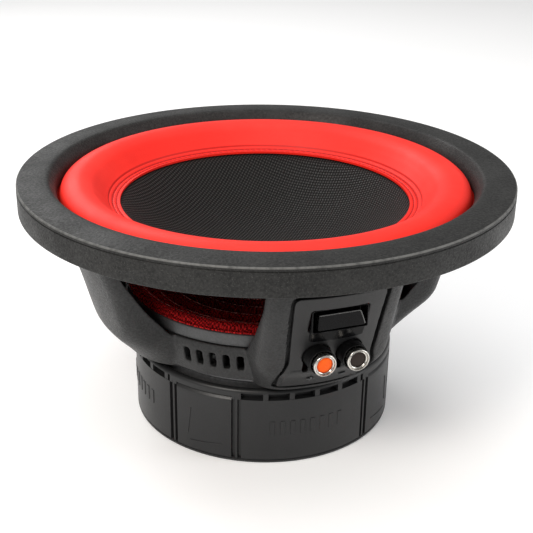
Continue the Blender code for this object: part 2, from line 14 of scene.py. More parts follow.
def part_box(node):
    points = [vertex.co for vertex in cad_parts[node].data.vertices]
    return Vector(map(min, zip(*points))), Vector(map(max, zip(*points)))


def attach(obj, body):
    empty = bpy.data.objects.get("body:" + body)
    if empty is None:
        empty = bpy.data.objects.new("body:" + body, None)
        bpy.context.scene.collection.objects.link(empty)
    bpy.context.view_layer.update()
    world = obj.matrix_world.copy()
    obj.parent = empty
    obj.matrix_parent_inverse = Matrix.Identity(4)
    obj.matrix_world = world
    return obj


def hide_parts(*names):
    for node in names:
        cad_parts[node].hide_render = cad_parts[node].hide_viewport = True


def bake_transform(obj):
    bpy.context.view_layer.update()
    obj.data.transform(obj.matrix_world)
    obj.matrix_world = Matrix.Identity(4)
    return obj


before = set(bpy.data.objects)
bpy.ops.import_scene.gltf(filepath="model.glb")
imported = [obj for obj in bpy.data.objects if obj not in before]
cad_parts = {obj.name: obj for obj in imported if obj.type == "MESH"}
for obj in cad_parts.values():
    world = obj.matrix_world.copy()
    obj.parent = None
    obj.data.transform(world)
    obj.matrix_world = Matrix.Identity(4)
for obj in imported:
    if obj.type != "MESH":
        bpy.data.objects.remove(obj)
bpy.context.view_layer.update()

MM = 0.001
TAU = 2.0 * math.pi
ROUND = 192  # segments of the large round pieces
SMALL_ROUND = 64  # segments of the terminals
SHARP = 38.0  # edges that turn by more degrees than this are shaded sharp
ALL_SMOOTH = 180.0
DOME = ((0.9, 0.35), (0.5, 0.8))  # domed end of a cord: reach and radius, as parts of its radius


def node_span(node):
    """Lowest and highest corner of a CAD node in mm."""
    low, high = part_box(node)
    return low / MM, high / MM


TRIM_LOW, TRIM_HIGH = node_span("trim_ring")
RING_LOW, RING_HIGH = node_span("spider_ring")
TOP_PLATE_LOW, TOP_PLATE_HIGH = node_span("top_plate")
YOKE_LOW, YOKE_HIGH = node_span("yoke")
FORMER_LOW, FORMER_HIGH = node_span("coil_former")
WINDING_LOW, WINDING_HIGH = node_span("voice_coil")
TRIM_R = TRIM_HIGH.x
BOOT_R = node_span("magnet_boot")[1].x
FLANGE_R = node_span("basket")[1].x


# ---------------- shapes
def polar(radius, height, angle):
    """Angle 0 looks along -Y, a quarter turn looks along +X."""
    return Vector((radius * math.sin(angle), -radius * math.cos(angle), height)) * MM


def smooth_line(points, step):
    """Catmull-Rom line through the points, with a point about every step."""
    points = [Vector(p) for p in points]
    first = points[0] * 2 - points[1]
    last = points[-1] * 2 - points[-2]
    run = [first, *points, last]
    line = []
    for i in range(1, len(run) - 2):
        a, b, c, d = run[i - 1:i + 3]
        count = max(1, round((c - b).length / step))
        for k in range(count):
            t = k / count
            line.append(0.5 * (2 * b + (c - a) * t + (2 * a - 5 * b + 4 * c - d) * t * t
                               + (3 * b - a - 3 * c + d) * t ** 3))
    line.append(points[-1])
    return line


def bend(before, corner, after, steps=4):
    """Points of a quarter bend from before to after, pulled towards the corner."""
    parts = [i / steps for i in range(steps + 1)]
    return [before * (1 - t) ** 2 + corner * 2 * t * (1 - t) + after * t * t for t in parts]


def rounded(outline, radius, steps=4):
    """Closed outline of 2-D points with its corners rounded. A third number in a point is its own radius."""
    out = []
    for i, (x, y, *own) in enumerate(outline):
        corner = Vector((x, y))
        before = Vector(outline[i - 1][:2])
        after = Vector(outline[(i + 1) % len(outline)][:2])
        r = own[0] if own else radius
        if r <= 0:
            out.append(corner)
            continue
        back = min(r, (before - corner).length * 0.45)
        ahead = min(r, (after - corner).length * 0.45)
        start = corner + (before - corner).normalized() * back
        end = corner + (after - corner).normalized() * ahead
        out.extend(bend(start, corner, end, steps))
    return out


def rect(x0, y0, x1, y1):
    return (x0, y0), (x1, y0), (x1, y1), (x0, y1)


def link(name, data):
    obj = bpy.data.objects.new(name, data)
    bpy.context.scene.collection.objects.link(obj)
    return obj


def as_object(name, bm, mat):
    """Smooth object from a mesh in the making."""
    mesh = bpy.data.meshes.new(name)
    bm.to_mesh(mesh)
    bm.free()
    mesh.shade_smooth()
    if mat is not None:
        mesh.materials.append(mat)
    return link(name, mesh)


def mesh_object(name, bm, mat, sharp=SHARP):
    bmesh.ops.recalc_face_normals(bm, faces=bm.faces)
    obj = as_object(name, bm, mat)
    if sharp < ALL_SMOOTH:
        obj.data.set_sharp_from_angle(angle=math.radians(sharp))
    return obj


def skin(bm, rings, ends=True):
    """Faces between neighbouring rings of equal point counts, and over both ends."""
    count = len(rings[0])
    for a, b in zip(rings, rings[1:]):
        for i in range(count):
            j = (i + 1) % count
            bm.faces.new((a[i], a[j], b[j], b[i]))
    if ends:
        bm.faces.new(rings[0][::-1])
        bm.faces.new(rings[-1])


def lathe(name, profile, mat=None, segments=ROUND, sharp=SHARP):
    """Closed body of revolution about the Z axis from a closed profile of (radius, height)."""
    bm = bmesh.new()
    rings = []
    for radius, height in profile:
        if radius < 1e-6:
            rings.append([bm.verts.new((0.0, 0.0, height * MM))])
        else:
            rings.append([bm.verts.new(polar(radius, height, TAU * i / segments)) for i in range(segments)])
    for a, b in zip(rings, rings[1:] + rings[:1]):
        if len(a) == 1 and len(b) == 1:
            continue
        for i in range(segments):
            j = (i + 1) % segments
            if len(a) == 1:
                bm.faces.new((a[0], b[i], b[j]))
            elif len(b) == 1:
                bm.faces.new((a[i], b[0], a[j]))
            else:
                bm.faces.new((a[i], b[i], b[j], a[j]))
    return mesh_object(name, bm, mat, sharp)


def lathe_y(name, profile, x, z, mat=None, segments=SMALL_ROUND):
    """Closed body about an axis along Y through (x, z), from a profile of (radius, y)."""
    obj = lathe(name, [(radius, -y) for radius, y in profile], mat, segments)
    turn = Matrix.Translation((x * MM, 0.0, z * MM)) @ Matrix.Rotation(math.radians(90.0), 4, "X")
    obj.data.transform(turn)
    return obj


def loft(name, sections, mat=None):
    """Closed body through sections of equal point counts, given in metres, with flat ends."""
    bm = bmesh.new()
    skin(bm, [[bm.verts.new(p) for p in section] for section in sections])
    return mesh_object(name, bm, mat)


def prism_y(name, outline, y0, y1, mat=None):
    """Outline of (x, z) carried along Y."""
    return loft(name, [[Vector((x, y, z)) * MM for x, z in outline] for y in (y0, y1)], mat)


def block(name, low, high):
    outline = rect(*low[:2], *high[:2])
    return loft(name, [[Vector((x, y, z)) * MM for x, y in outline] for z in (low[2], high[2])])


def evaluated(obj):
    """The object with its modifiers applied."""
    bpy.context.view_layer.update()
    depsgraph = bpy.context.evaluated_depsgraph_get()
    mesh = bpy.data.meshes.new_from_object(obj.evaluated_get(depsgraph), depsgraph=depsgraph)
    obj.modifiers.clear()
    obj.data = mesh
    return obj


def cut(target, cutter, operation="DIFFERENCE"):
    modifier = target.modifiers.new("cut", "BOOLEAN")
    modifier.operation = operation
    modifier.solver = "EXACT"
    modifier.object = cutter
    evaluated(target)
    bpy.data.objects.remove(cutter, do_unlink=True)
    return target


def joined(name, parts, mat=None):
    """One object that holds the faces of several."""
    bm = bmesh.new()
    for part in parts:
        part.data.transform(part.matrix_world)
        bm.from_mesh(part.data)
        bpy.data.objects.remove(part, do_unlink=True)
    return as_object(name, bm, mat)


def cast(name, parts, voxel, relax, mat):
    """One casting or moulding from overlapping closed bodies, with all its edges softened."""
    obj = joined(name, parts, mat)
    remesh = obj.modifiers.new("remesh", "REMESH")
    remesh.mode = "VOXEL"
    remesh.voxel_size = voxel * MM
    remesh.use_smooth_shade = True
    soften = obj.modifiers.new("soften", "SMOOTH")
    soften.factor = 0.5
    soften.iterations = relax
    evaluated(obj)
    obj.data.materials.clear()
    obj.data.materials.append(mat)
    return obj


def tube_into(bm, path, radius, sides):
    """Adds a round cord with domed ends along a path of points in metres."""
    path = [Vector(p) for p in path]
    full = radius * MM
    radii = [full * r for _, r in DOME] + [full] * len(path) + [full * r for _, r in DOME[::-1]]
    start = (path[0] - path[1]).normalized() * radius * MM
    end = (path[-1] - path[-2]).normalized() * radius * MM
    path = [*(path[0] + start * reach for reach, _ in DOME), *path,
            *(path[-1] + end * reach for reach, _ in DOME[::-1])]
    side = (path[1] - path[0]).normalized().orthogonal().normalized()
    rings = []
    for i, centre in enumerate(path):
        along = (path[min(i + 1, len(path) - 1)] - path[max(i - 1, 0)]).normalized()
        side = (side - along * side.dot(along)).normalized()
        up = along.cross(side)
        spokes = [side * math.cos(TAU * k / sides) + up * math.sin(TAU * k / sides) for k in range(sides)]
        rings.append([bm.verts.new(centre + spoke * radii[i]) for spoke in spokes])
    skin(bm, rings)


def tubes(name, paths, radius, mat, sides=10):
    bm = bmesh.new()
    for path in paths:
        tube_into(bm, path, radius, sides)
    return mesh_object(name, bm, mat, ALL_SMOOTH)


def place(obj, body, slot, *nodes):
    """The piece rides on a body and stands for CAD nodes, which it hides; its slot is not used."""
    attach(obj, body)
    if nodes:
        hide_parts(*nodes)
    return obj


def radial_blend(obj, fixed_radius, moving_radius, slot, *nodes):
    """Hides the CAD nodes of a ring between the frame and the diaphragm; the ring keeps its shape, and the
    two radii and the slot are not used.
    """
    mesh = obj.data
    count = len(mesh.vertices)
    real = np.empty(count * 3, np.float32)
    mesh.vertices.foreach_get("co", real)
    flat = real.reshape(-1, 3).copy()
    flat[:, 0] = np.hypot(flat[:, 0], flat[:, 1])
    flat[:, 1:] = 0.0
    mesh.vertices.foreach_set("co", flat.ravel())
    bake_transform(obj)
    mesh.vertices.foreach_set("co", real)
    mesh.update()
    if nodes:
        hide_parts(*nodes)
    return obj


# ---------------- materials
class Finish:
    """A Principled material with its texture nodes in object space."""

    def __init__(self, name, roughness=0.5, metallic=0.0, specular=0.5):
        self.mat = bpy.data.materials.new(name)
        self.mat.use_nodes = True
        self.tree = self.mat.node_tree
        self.shader = self.tree.nodes["Principled BSDF"]
        self.shader.inputs["Roughness"].default_value = roughness
        self.shader.inputs["Metallic"].default_value = metallic
        self.shader.inputs["Specular IOR Level"].default_value = specular
        self.place = self.node("TexCoord").outputs["Object"]
        self.split = None
        self.tone = None

    def node(self, kind):
        return self.tree.nodes.new("ShaderNode" + kind)

    def feed(self, socket, value):
        if isinstance(value, bpy.types.NodeSocket):
            self.tree.links.new(value, socket)
        else:
            socket.default_value = value

    def math(self, operation, a, b=0.0):
        node = self.node("Math")
        node.operation = operation
        self.feed(node.inputs[0], a)
        self.feed(node.inputs[1], b)
        return node.outputs[0]

    def times(self, a, b):
        return self.math("MULTIPLY", a, b)

    def plus(self, a, b):
        return self.math("ADD", a, b)

    def minus(self, a, b):
        return self.math("SUBTRACT", a, b)

    def axes(self):
        """X, Y, Z of the place in mm."""
        if self.split is None:
            node = self.node("SeparateXYZ")
            self.tree.links.new(self.place, node.inputs[0])
            self.split = [self.times(out, 1000.0) for out in node.outputs]
        return self.split

    def radius(self):
        x, y, _ = self.axes()
        return self.math("SQRT", self.plus(self.times(x, x), self.times(y, y)))

    def noise(self, scale, detail=3.0, rough=0.55, vector=None):
        node = self.node("TexNoise")
        node.inputs["Scale"].default_value = scale
        node.inputs["Detail"].default_value = detail
        node.inputs["Roughness"].default_value = rough
        self.tree.links.new(vector or self.place, node.inputs["Vector"])
        return node.outputs[0]

    def vector(self, x, y, z):
        node = self.node("CombineXYZ")
        for socket, value in zip(node.inputs, (x, y, z)):
            self.feed(socket, value)
        return node.outputs[0]

    def band(self, value, low, high, to_low=0.0, to_high=1.0):
        """Smooth step of a value from low to high."""
        node = self.node("MapRange")
        node.interpolation_type = "SMOOTHSTEP"
        self.feed(node.inputs["Value"], value)
        for end, number in zip(("From Min", "From Max", "To Min", "To Max"), (low, high, to_low, to_high)):
            node.inputs[end].default_value = number
        return node.outputs[0]

    def blend(self, factor, a, b):
        """Mix of two colours; a Mix node keeps its colours in inputs 6 and 7 and output 2."""
        node = self.node("Mix")
        node.data_type = "RGBA"
        self.feed(node.inputs["Factor"], factor)
        for socket, value in ((node.inputs[6], a), (node.inputs[7], b)):
            self.feed(socket, value if isinstance(value, bpy.types.NodeSocket) else (*value, 1.0))
        return node.outputs[2]

    def bump(self, height, depth):
        """Bump of a 0..1 height, depth in mm. A second bump lies on the first."""
        node = self.node("Bump")
        node.inputs["Strength"].default_value = 1.0
        node.inputs["Distance"].default_value = depth * MM
        self.feed(node.inputs["Height"], height)
        below = self.shader.inputs["Normal"]
        if below.is_linked:
            self.tree.links.new(below.links[0].from_socket, node.inputs["Normal"])
        self.tree.links.new(node.outputs[0], below)

    def colour(self, value):
        self.tone = value
        self.feed(self.shader.inputs["Base Color"], value)

    def overlay(self, factor, colour):
        """Lays a colour over the present one."""
        self.colour(self.blend(factor, self.tone, colour))

    def roughness(self, value):
        self.feed(self.shader.inputs["Roughness"], value)


def grained_paint(name, dark, light, rough_low, rough_high, grain=1100.0, depth=0.05, specular=0.5):
    """Moulded or painted surface: cloudy tone, fine grain in colour, gloss and relief."""
    paint = Finish(name, specular=specular)
    cloud = paint.noise(35.0, 4.0)
    fine = paint.noise(grain, 2.0, 0.6)
    tone = paint.plus(paint.times(cloud, 0.45), paint.times(fine, 0.55))
    paint.colour(paint.blend(paint.band(tone, 0.3, 0.7), dark, light))
    paint.roughness(paint.band(tone, 0.25, 0.75, rough_high, rough_low))
    paint.bump(fine, depth)
    return paint


def grained(name, *looks):
    return grained_paint(name, *looks).mat


def trim_finish():
    paint = grained_paint("trim_rubber", (0.003, 0.003, 0.003), (0.019, 0.019, 0.018), 0.42, 0.70,
                          800, 0.22, 0.32)
    paint.overlay(paint.band(paint.noise(1700.0, 1.0), 0.62, 0.74), (0.045, 0.045, 0.042))
    # painted highlight: a lighter, broken line just under the trim's outer top edge, where the rounded edge
    # catches the light
    _, _, z = paint.axes()
    edge = paint.times(paint.band(z, HIGHLIGHT_LINE_Z - 0.2, HIGHLIGHT_LINE_Z + 0.2),
                       paint.band(paint.radius(), TRIM_R - 0.95, TRIM_R - 0.7))
    highlight_breakup = paint.band(paint.noise(260.0, 2.0), 0.3, 0.6, 0.45, 0.9)
    paint.overlay(paint.times(edge, highlight_breakup), (0.13, 0.13, 0.125))
    return paint.mat


def surround_finish():
    paint = Finish("red_surround", 0.5, 0.0, 0.28)
    cloud = paint.noise(26.0, 3.0)
    fine = paint.noise(1500.0, 2.0)
    base = paint.blend(paint.band(cloud, 0.3, 0.7), (0.82, 0.016, 0.008), (0.92, 0.022, 0.011))
    red = paint.blend(paint.band(fine, 0.25, 0.8, 0.0, 0.25), base, (0.98, 0.035, 0.022))
    # painted shade: a dark red line along each crease, where shade falls in its groove
    crease_shade = None
    for radius, half, _ in CREASES:
        away = paint.math("ABSOLUTE", paint.minus(paint.radius(), radius))
        line = paint.band(away, half * 0.2, half, CREASE_SHADE, 0.0)
        crease_shade = line if crease_shade is None else paint.math("MAXIMUM", crease_shade, line)
    red = paint.blend(crease_shade, red, (0.26, 0.003, 0.004))
    paint.colour(red)
    paint.roughness(paint.band(cloud, 0.3, 0.7, 0.56, 0.46))
    paint.bump(fine, 0.03)
    return paint.mat


def thread_finish():
    paint = Finish("red_thread", 0.7, 0.0, 0.3)
    twist = paint.noise(3200.0, 1.0)
    paint.colour(paint.blend(twist, (0.30, 0.006, 0.008), (0.62, 0.02, 0.02)))
    paint.bump(twist, 0.05)
    return paint.mat


def weave(paint, pitch, turn, stray, stray_scale):
    """Height 0..1 of a plain weave with straying yarns, turned by an angle in the X-Y plane."""
    x, y, _ = paint.axes()
    scale = math.pi / pitch
    wobble = paint.band(paint.noise(stray_scale, 2.0), 0.2, 0.8, -stray, stray)
    c, s = math.cos(turn) * scale, math.sin(turn) * scale
    along = paint.plus(paint.times(x, c), paint.times(y, s))
    across = paint.minus(paint.times(y, c), paint.times(x, s))
    p = paint.math("SINE", paint.plus(along, wobble))
    q = paint.math("SINE", paint.plus(across, wobble))
    over = paint.math("SIGN", paint.times(p, q))
    a, b = paint.math("ABSOLUTE", p), paint.math("ABSOLUTE", q)
    lift_a = paint.plus(0.62, paint.times(paint.times(b, over), 0.38))
    lift_b = paint.minus(0.62, paint.times(paint.times(a, over), 0.38))
    warp = paint.times(paint.math("POWER", a, 0.6), lift_a)
    weft = paint.times(paint.math("POWER", b, 0.6), lift_b)
    return paint.math("MAXIMUM", warp, weft)


def dish_finish():
    paint = Finish("woven_cone", 0.42, 0.0, 0.2)
    height = weave(paint, 1.7, math.radians(45.0), stray=0.35, stray_scale=60.0)
    fuzz = paint.noise(2400.0, 2.0)
    yarn = paint.blend(fuzz, (0.012, 0.012, 0.0115), (0.046, 0.046, 0.043))
    paint.colour(paint.blend(paint.band(height, 0.66, 0.94), (0.0008, 0.0008, 0.0008), yarn))
    paint.roughness(paint.band(height, 0.5, 1.0, 0.75, 0.38))
    paint.bump(height, 0.75)
    paint.bump(fuzz, 0.04)
    return paint.mat


def spider_finish():
    paint = Finish("spider_cloth", 0.9, 0.0, 0.08)
    height = weave(paint, 1.5, math.radians(20.0), stray=2.2, stray_scale=180.0)
    fuzz = paint.noise(1500.0, 3.0)
    yarn = paint.blend(fuzz, (0.34, 0.006, 0.008), (0.85, 0.030, 0.030))
    cloth = paint.blend(paint.band(height, 0.3, 0.95), (0.06, 0.001, 0.002), yarn)
    # painted shade: the cloth darkens towards its inner radii, which lie in the shade under the cone
    inner_shade = paint.band(paint.radius(), 44.0, 68.0, 0.75, 0.0)
    cloth = paint.blend(inner_shade, cloth, (0.015, 0.001, 0.001))
    # painted highlight: pale, broken lines on the corrugation crests, where the light catches them
    phase = paint.times(paint.minus(paint.radius(), SPIDER_CREST_R), TAU / SPIDER_PITCH)
    crest = paint.band(paint.math("COSINE", phase), 0.965, 0.995)
    broken = paint.band(paint.noise(700.0, 2.0), 0.38, 0.6)
    crest_highlight = paint.times(paint.times(crest, broken), 0.85)
    paint.colour(paint.blend(crest_highlight, cloth, (0.75, 0.42, 0.36)))
    paint.bump(height, 0.9)
    paint.bump(fuzz, 0.25)
    return paint.mat


def paper_finish():
    paint = Finish("cone_paper", 0.85, 0.0, 0.3)
    fibre = paint.noise(900.0, 5.0, 0.7)
    paint.colour(paint.blend(paint.band(fibre, 0.35, 0.7), (0.006, 0.006, 0.006), (0.024, 0.023, 0.022)))
    paint.bump(fibre, 0.12)
    return paint.mat


def turned_metal(name, dark, light, rough_low, rough_high):
    """Metal turned about the Z axis, with fine rings."""
    paint = Finish(name, 0.3, 1.0)
    _, _, z = paint.axes()
    across = paint.vector(paint.times(paint.radius(), 6.0), 0.0, paint.times(z, 6.0))
    rings = paint.noise(1.0, 3.0, 0.7, across)
    stain = paint.noise(60.0, 4.0)
    paint.colour(paint.blend(paint.band(stain, 0.3, 0.7), dark, light))
    paint.roughness(paint.band(rings, 0.3, 0.7, rough_low, rough_high))
    paint.bump(rings, 0.012)
    return paint.mat


def copper_finish():
    paint = Finish("copper_wire", 0.3, 1.0)
    _, _, z = paint.axes()
    turn = paint.math("ABSOLUTE", paint.math("SINE", paint.times(z, math.pi / 0.5)))
    paint.colour(paint.blend(turn, (0.20, 0.05, 0.02), (0.75, 0.33, 0.14)))
    paint.bump(turn, 0.15)
    return paint.mat


def stained_metal(name, metallic, scale, dark, light, stain_low, smooth, rough):
    paint = Finish(name, metallic=metallic)
    stain = paint.noise(scale, 3.0)
    paint.colour(paint.blend(stain, dark, light))
    paint.roughness(paint.band(stain, stain_low, 0.7, smooth, rough))
    return paint


def chrome_finish():
    paint = stained_metal("chrome", 1.0, 420, (0.50, 0.48, 0.45), (0.68, 0.66, 0.62), 0.35, 0.16, 0.3)
    paint.bump(paint.noise(2600.0, 1.0), 0.004)
    return paint.mat


def braid_finish():
    paint = Finish("lead_braid", 0.45, 0.6)
    x, y, z = paint.axes()
    one = paint.math("SINE", paint.times(paint.plus(y, paint.plus(x, z)), 5.5))
    two = paint.math("SINE", paint.times(paint.minus(y, paint.plus(x, z)), 5.5))
    plait = paint.times(paint.plus(paint.times(one, two), 1.0), 0.5)
    paint.colour(paint.blend(plait, (0.22, 0.14, 0.08), (0.72, 0.58, 0.40)))
    paint.bump(plait, 0.18)
    return paint.mat


CREASES = ((86.2, 0.5, 0.4), (84.1, 0.65, 0.45), (81.9, 0.65, 0.45))  # surround seams: radius, half, depth
CREASE_SHADE = 0.5  # strength of the painted shade along a crease
# height of the painted highlight line on the trim's top edge
HIGHLIGHT_LINE_Z = TRIM_HIGH.z - 2.1
SPIDER_CREST_R = 62.2
SPIDER_PITCH = 9.5

TRIM = trim_finish()
RED = surround_finish()
THREAD = thread_finish()
WOVEN = dish_finish()
CLOTH = spider_finish()
PAPER = paper_finish()
# dark and light tone, lowest and highest roughness, then scale and depth of the grain, and specular
PAINT = grained("basket_paint", (0.005, 0.0052, 0.0054), (0.023, 0.0234, 0.024), 0.36, 0.58, 900, 0.28, 0.38)
RING_GREY = grained("ring_grey", (0.045, 0.047, 0.048), (0.075, 0.077, 0.08), 0.42, 0.6, 1000, 0.06)
ZINC = turned_metal("zinc_steel", (0.50, 0.51, 0.53), (0.68, 0.69, 0.70), 0.22, 0.42)
# painted shade: a darker copy of the zinc steel for the top plate, which sits in the shade under the basket
# band
ZINC_IN_SHADE = turned_metal("plate_steel", (0.10, 0.10, 0.105), (0.17, 0.17, 0.175), 0.25, 0.45)
FERRITE = grained("ferrite", (0.02, 0.02, 0.021), (0.06, 0.06, 0.062), 0.45, 0.7, 500, 0.12)
FORMER = stained_metal("former_aluminium", 0.9, 120, (0.36, 0.36, 0.37), (0.58, 0.58, 0.59),
                       0.3, 0.28, 0.45).mat
COPPER = copper_finish()
BOOT = grained("boot_rubber", (0.011, 0.0112, 0.0118), (0.017, 0.0173, 0.018), 0.34, 0.46, 1600, 0.04, 0.35)
PANEL = grained("panel_plastic", (0.009, 0.0092, 0.0096), (0.016, 0.0163, 0.017), 0.34, 0.48, 1500, 0.05, 0.4)
# painted highlight: a lighter black for the line along the plug's front edge, where the gloss catches the
# light
PLUG_GLINT = grained("plug_edge_highlight", (0.07, 0.07, 0.068), (0.13, 0.13, 0.125), 0.3, 0.45, 900, 0.02)
GLOSS = grained("gloss_black", (0.002, 0.002, 0.0022), (0.005, 0.005, 0.0055), 0.12, 0.24, 800, 0.004, 0.12)
BARREL = grained("body_plastic", (0.003, 0.003, 0.0032), (0.006, 0.006, 0.0064), 0.3, 0.42, 1400, 0.03, 0.2)
CHROME = chrome_finish()
ORANGE = grained("orange_insert", (0.88, 0.085, 0.003), (1.0, 0.14, 0.008), 0.4, 0.55, 1500, 0.04, 0.2)
DARK = grained("dark_insert", (0.016, 0.010, 0.008), (0.034, 0.022, 0.018), 0.4, 0.55, 1500, 0.04, 0.2)
SPRING = turned_metal("spring_steel", (0.4, 0.4, 0.4), (0.6, 0.6, 0.6), 0.2, 0.35)
BRASS = turned_metal("contact_brass", (0.55, 0.38, 0.13), (0.78, 0.58, 0.25), 0.2, 0.36)
BRAID = braid_finish()


# ---------------- soft ring, dish and cone
SURROUND_LINE = (  # middle line of the half roll (radius, height)
    (121.0, 129.0), (114.0, 129.0), (112.1, 131.0), (111.6, 134.4), (110.2, 137.5), (106.4, 139.8),
    (101.0, 140.2), (95.6, 138.0), (91.4, 134.0), (88.2, 130.6), (85.4, 127.9), (83.4, 126.9), (79.9, 126.7))
SURROUND_T = 1.3
SURROUND_FIXED_R = 111.0  # outside this radius the surround stays with the basket
SURROUND_MOVING_R = 85.0  # inside this radius it moves with the cone
STITCH_PITCH = 3.5
STITCH_LENGTH = 2.1
THREAD_R = 0.3
THREAD_SUNK = 0.12  # seat of the thread below the surface, and its rise in a stitch


def wall_profile(line, thickness, creases=()):
    """Closed profile around a line, with creases pressed into its upper side."""
    upper, lower = [], []
    for i, here in enumerate(line):
        along = (line[min(i + 1, len(line) - 1)] - line[max(i - 1, 0)]).normalized()
        normal = Vector((along.y, -along.x))
        if normal.y < 0:
            normal = -normal
        dent = sum(depth * max(0.0, 1.0 - ((here.x - r) / half) ** 2) for r, half, depth in creases)
        upper.append(here + normal * (thickness * 0.5 - dent))
        lower.append(here - normal * thickness * 0.5)
    return upper + lower[::-1]


def make_surround():
    line = smooth_line(SURROUND_LINE, 0.35)
    surround = lathe("surround_roll", wall_profile(line, SURROUND_T, CREASES), RED, 256, 80.0)
    radial_blend(surround, SURROUND_FIXED_R, SURROUND_MOVING_R, "red_surround", "surround")
    bm = bmesh.new()
    for radius, _, _ in CREASES[1:]:
        nearest = min(line, key=lambda p: abs(p.x - radius))
        seat = nearest.y + SURROUND_T * 0.5 - THREAD_SUNK - 0.18
        count = round(TAU * radius / STITCH_PITCH)
        half = STITCH_LENGTH * 0.5 / radius
        for i in range(count):
            middle = TAU * i / count
            path = [polar(radius, seat + THREAD_SUNK * math.sin(math.pi * t), middle + half * (2 * t - 1))
                    for t in (0.0, 0.25, 0.5, 0.75, 1.0)]
            tube_into(bm, path, THREAD_R, 6)
    stitches = mesh_object("surround_stitching", bm, THREAD, ALL_SMOOTH)
    radial_blend(stitches, SURROUND_FIXED_R, SURROUND_MOVING_R, "red_surround")


DISH_LINE = (  # upper face of the woven dish (radius, height)
    (84.0, 125.6), (80.4, 125.3), (77.4, 124.2), (70.0, 118.8), (61.0, 112.6), (48.0, 105.2), (32.0, 99.4),
    (15.0, 96.4), (0.0, 95.9))
DISH_T = 1.2
CONE_LINE = ((80.6, 122.7), (75.8, 119.6), (62.0, 109.5), (44.0, 95.8), (27.4, 85.2), (26.7, 82.4))
CONE_T = 1.4
FORMER_R = 24.9  # inner radii of the former and the winding
WINDING_R = 25.9


def make_cone():
    top = smooth_line(DISH_LINE, 1.5)
    top[-1].x = 0.0
    under = [Vector((p.x, p.y - DISH_T)) for p in reversed(top)]
    place(lathe("woven_dish_face", top + under, WOVEN, ROUND, 50.0), "diaphragm", "woven_cone", "woven_dish")
    cone = lathe("cone_body_skin", wall_profile(smooth_line(CONE_LINE, 2.0), CONE_T), PAPER, ROUND, 60.0)
    place(cone, "diaphragm", "cone_paper", "cone_body")
    former = rounded(rect(FORMER_R, FORMER_LOW.z, FORMER_HIGH.x, FORMER_HIGH.z), 0.1, 2)
    place(lathe("coil_former_tube", former, FORMER, 96), "diaphragm", "former_aluminium", "coil_former")
    winding = rounded(rect(WINDING_R, WINDING_LOW.z, WINDING_HIGH.x, WINDING_HIGH.z), 0.4)
    place(lathe("voice_coil_winding", winding, COPPER, 96), "diaphragm", "copper_wire", "voice_coil")
    bead = rounded(((25.6, 82.2), (28.6, 81.6), (28.2, 86.6), (25.6, 90.4)), 1.2)
    place(lathe("former_glue_bead", bead, GLOSS, 96, 80.0), "diaphragm", "cone_paper")


SPIDER_T = 0.8
SPIDER_MID_Z = 76.6
SPIDER_WAVE = 2.2
SPIDER_FLANGE_Z = 80.3
SPIDER_ROLL = ((77.4, 0.0), (75.8, 0.2), (74.2, 2.0), (72.0, 2.8), (69.9, 1.6), (68.4, -1.8))
SPIDER_FIXED_R = 71.0
SPIDER_MOVING_R = 30.0


def make_spider():
    line = [Vector((r, SPIDER_FLANGE_Z + rise)) for r, rise in SPIDER_ROLL]
    radius = SPIDER_CREST_R + 0.5 * SPIDER_PITCH
    while radius > 29.2:
        wave = math.cos(TAU * (radius - SPIDER_CREST_R) / SPIDER_PITCH)
        line.append(Vector((radius, SPIDER_MID_Z + SPIDER_WAVE * wave)))
        radius -= SPIDER_PITCH / 16
    line += [Vector((27.4, SPIDER_MID_Z + 0.2)), Vector((26.35, SPIDER_MID_Z + 2.6))]
    spider = lathe("spider_corrugated", wall_profile(smooth_line(line, 0.6), SPIDER_T), CLOTH, ROUND, 80.0)
    radial_blend(spider, SPIDER_FIXED_R, SPIDER_MOVING_R, "spider_cloth", "spider")
    inner, outer = 71.4, RING_HIGH.x
    low, high = RING_LOW.z, RING_HIGH.z
    ring = rounded(((inner, low), (outer - 0.6, low, 0.1), (outer - 0.6, low + 0.9, 0.1),
                    (outer, low + 1.2, 0.3), (outer, high, 0.7), (inner, high)), 0.2)
    place(lathe("spider_landing_ring", ring, RING_GREY, ROUND), "frame", "ring_grey", "spider_ring")


# ---------------- trim ring
def make_trim():
    edge_z = TRIM_HIGH.z - 1.2
    low = TRIM_LOW.z
    groove = edge_z - 2.3
    profile = rounded((
        (129.2, low - 0.6, 0.2), (TRIM_R, low - 0.6, 0.8), (TRIM_R, groove - 0.35, 0.15),
        (TRIM_R - 0.55, groove - 0.1, 0.1), (TRIM_R - 0.55, groove + 0.15, 0.1),
        (TRIM_R - 0.1, groove + 0.4, 0.15), (TRIM_R - 0.1, edge_z - 0.2, 1.1),
        (TRIM_R - 2.2, edge_z + 0.25, 1.0), (122.0, edge_z + 1.15, 3.0),
        (117.9, edge_z + 0.75, 1.4), (114.6, edge_z - 4.0, 2.2), (113.5, edge_z - 7.2, 1.5),
        (113.4, low + 5.6, 0.4), (115.0, low + 1.7, 0.4), (129.2, low + 1.7, 0.2)), 0.5)
    place(lathe("trim_ring_rubber", profile, TRIM, 320), "frame", "trim_rubber", "trim_ring")


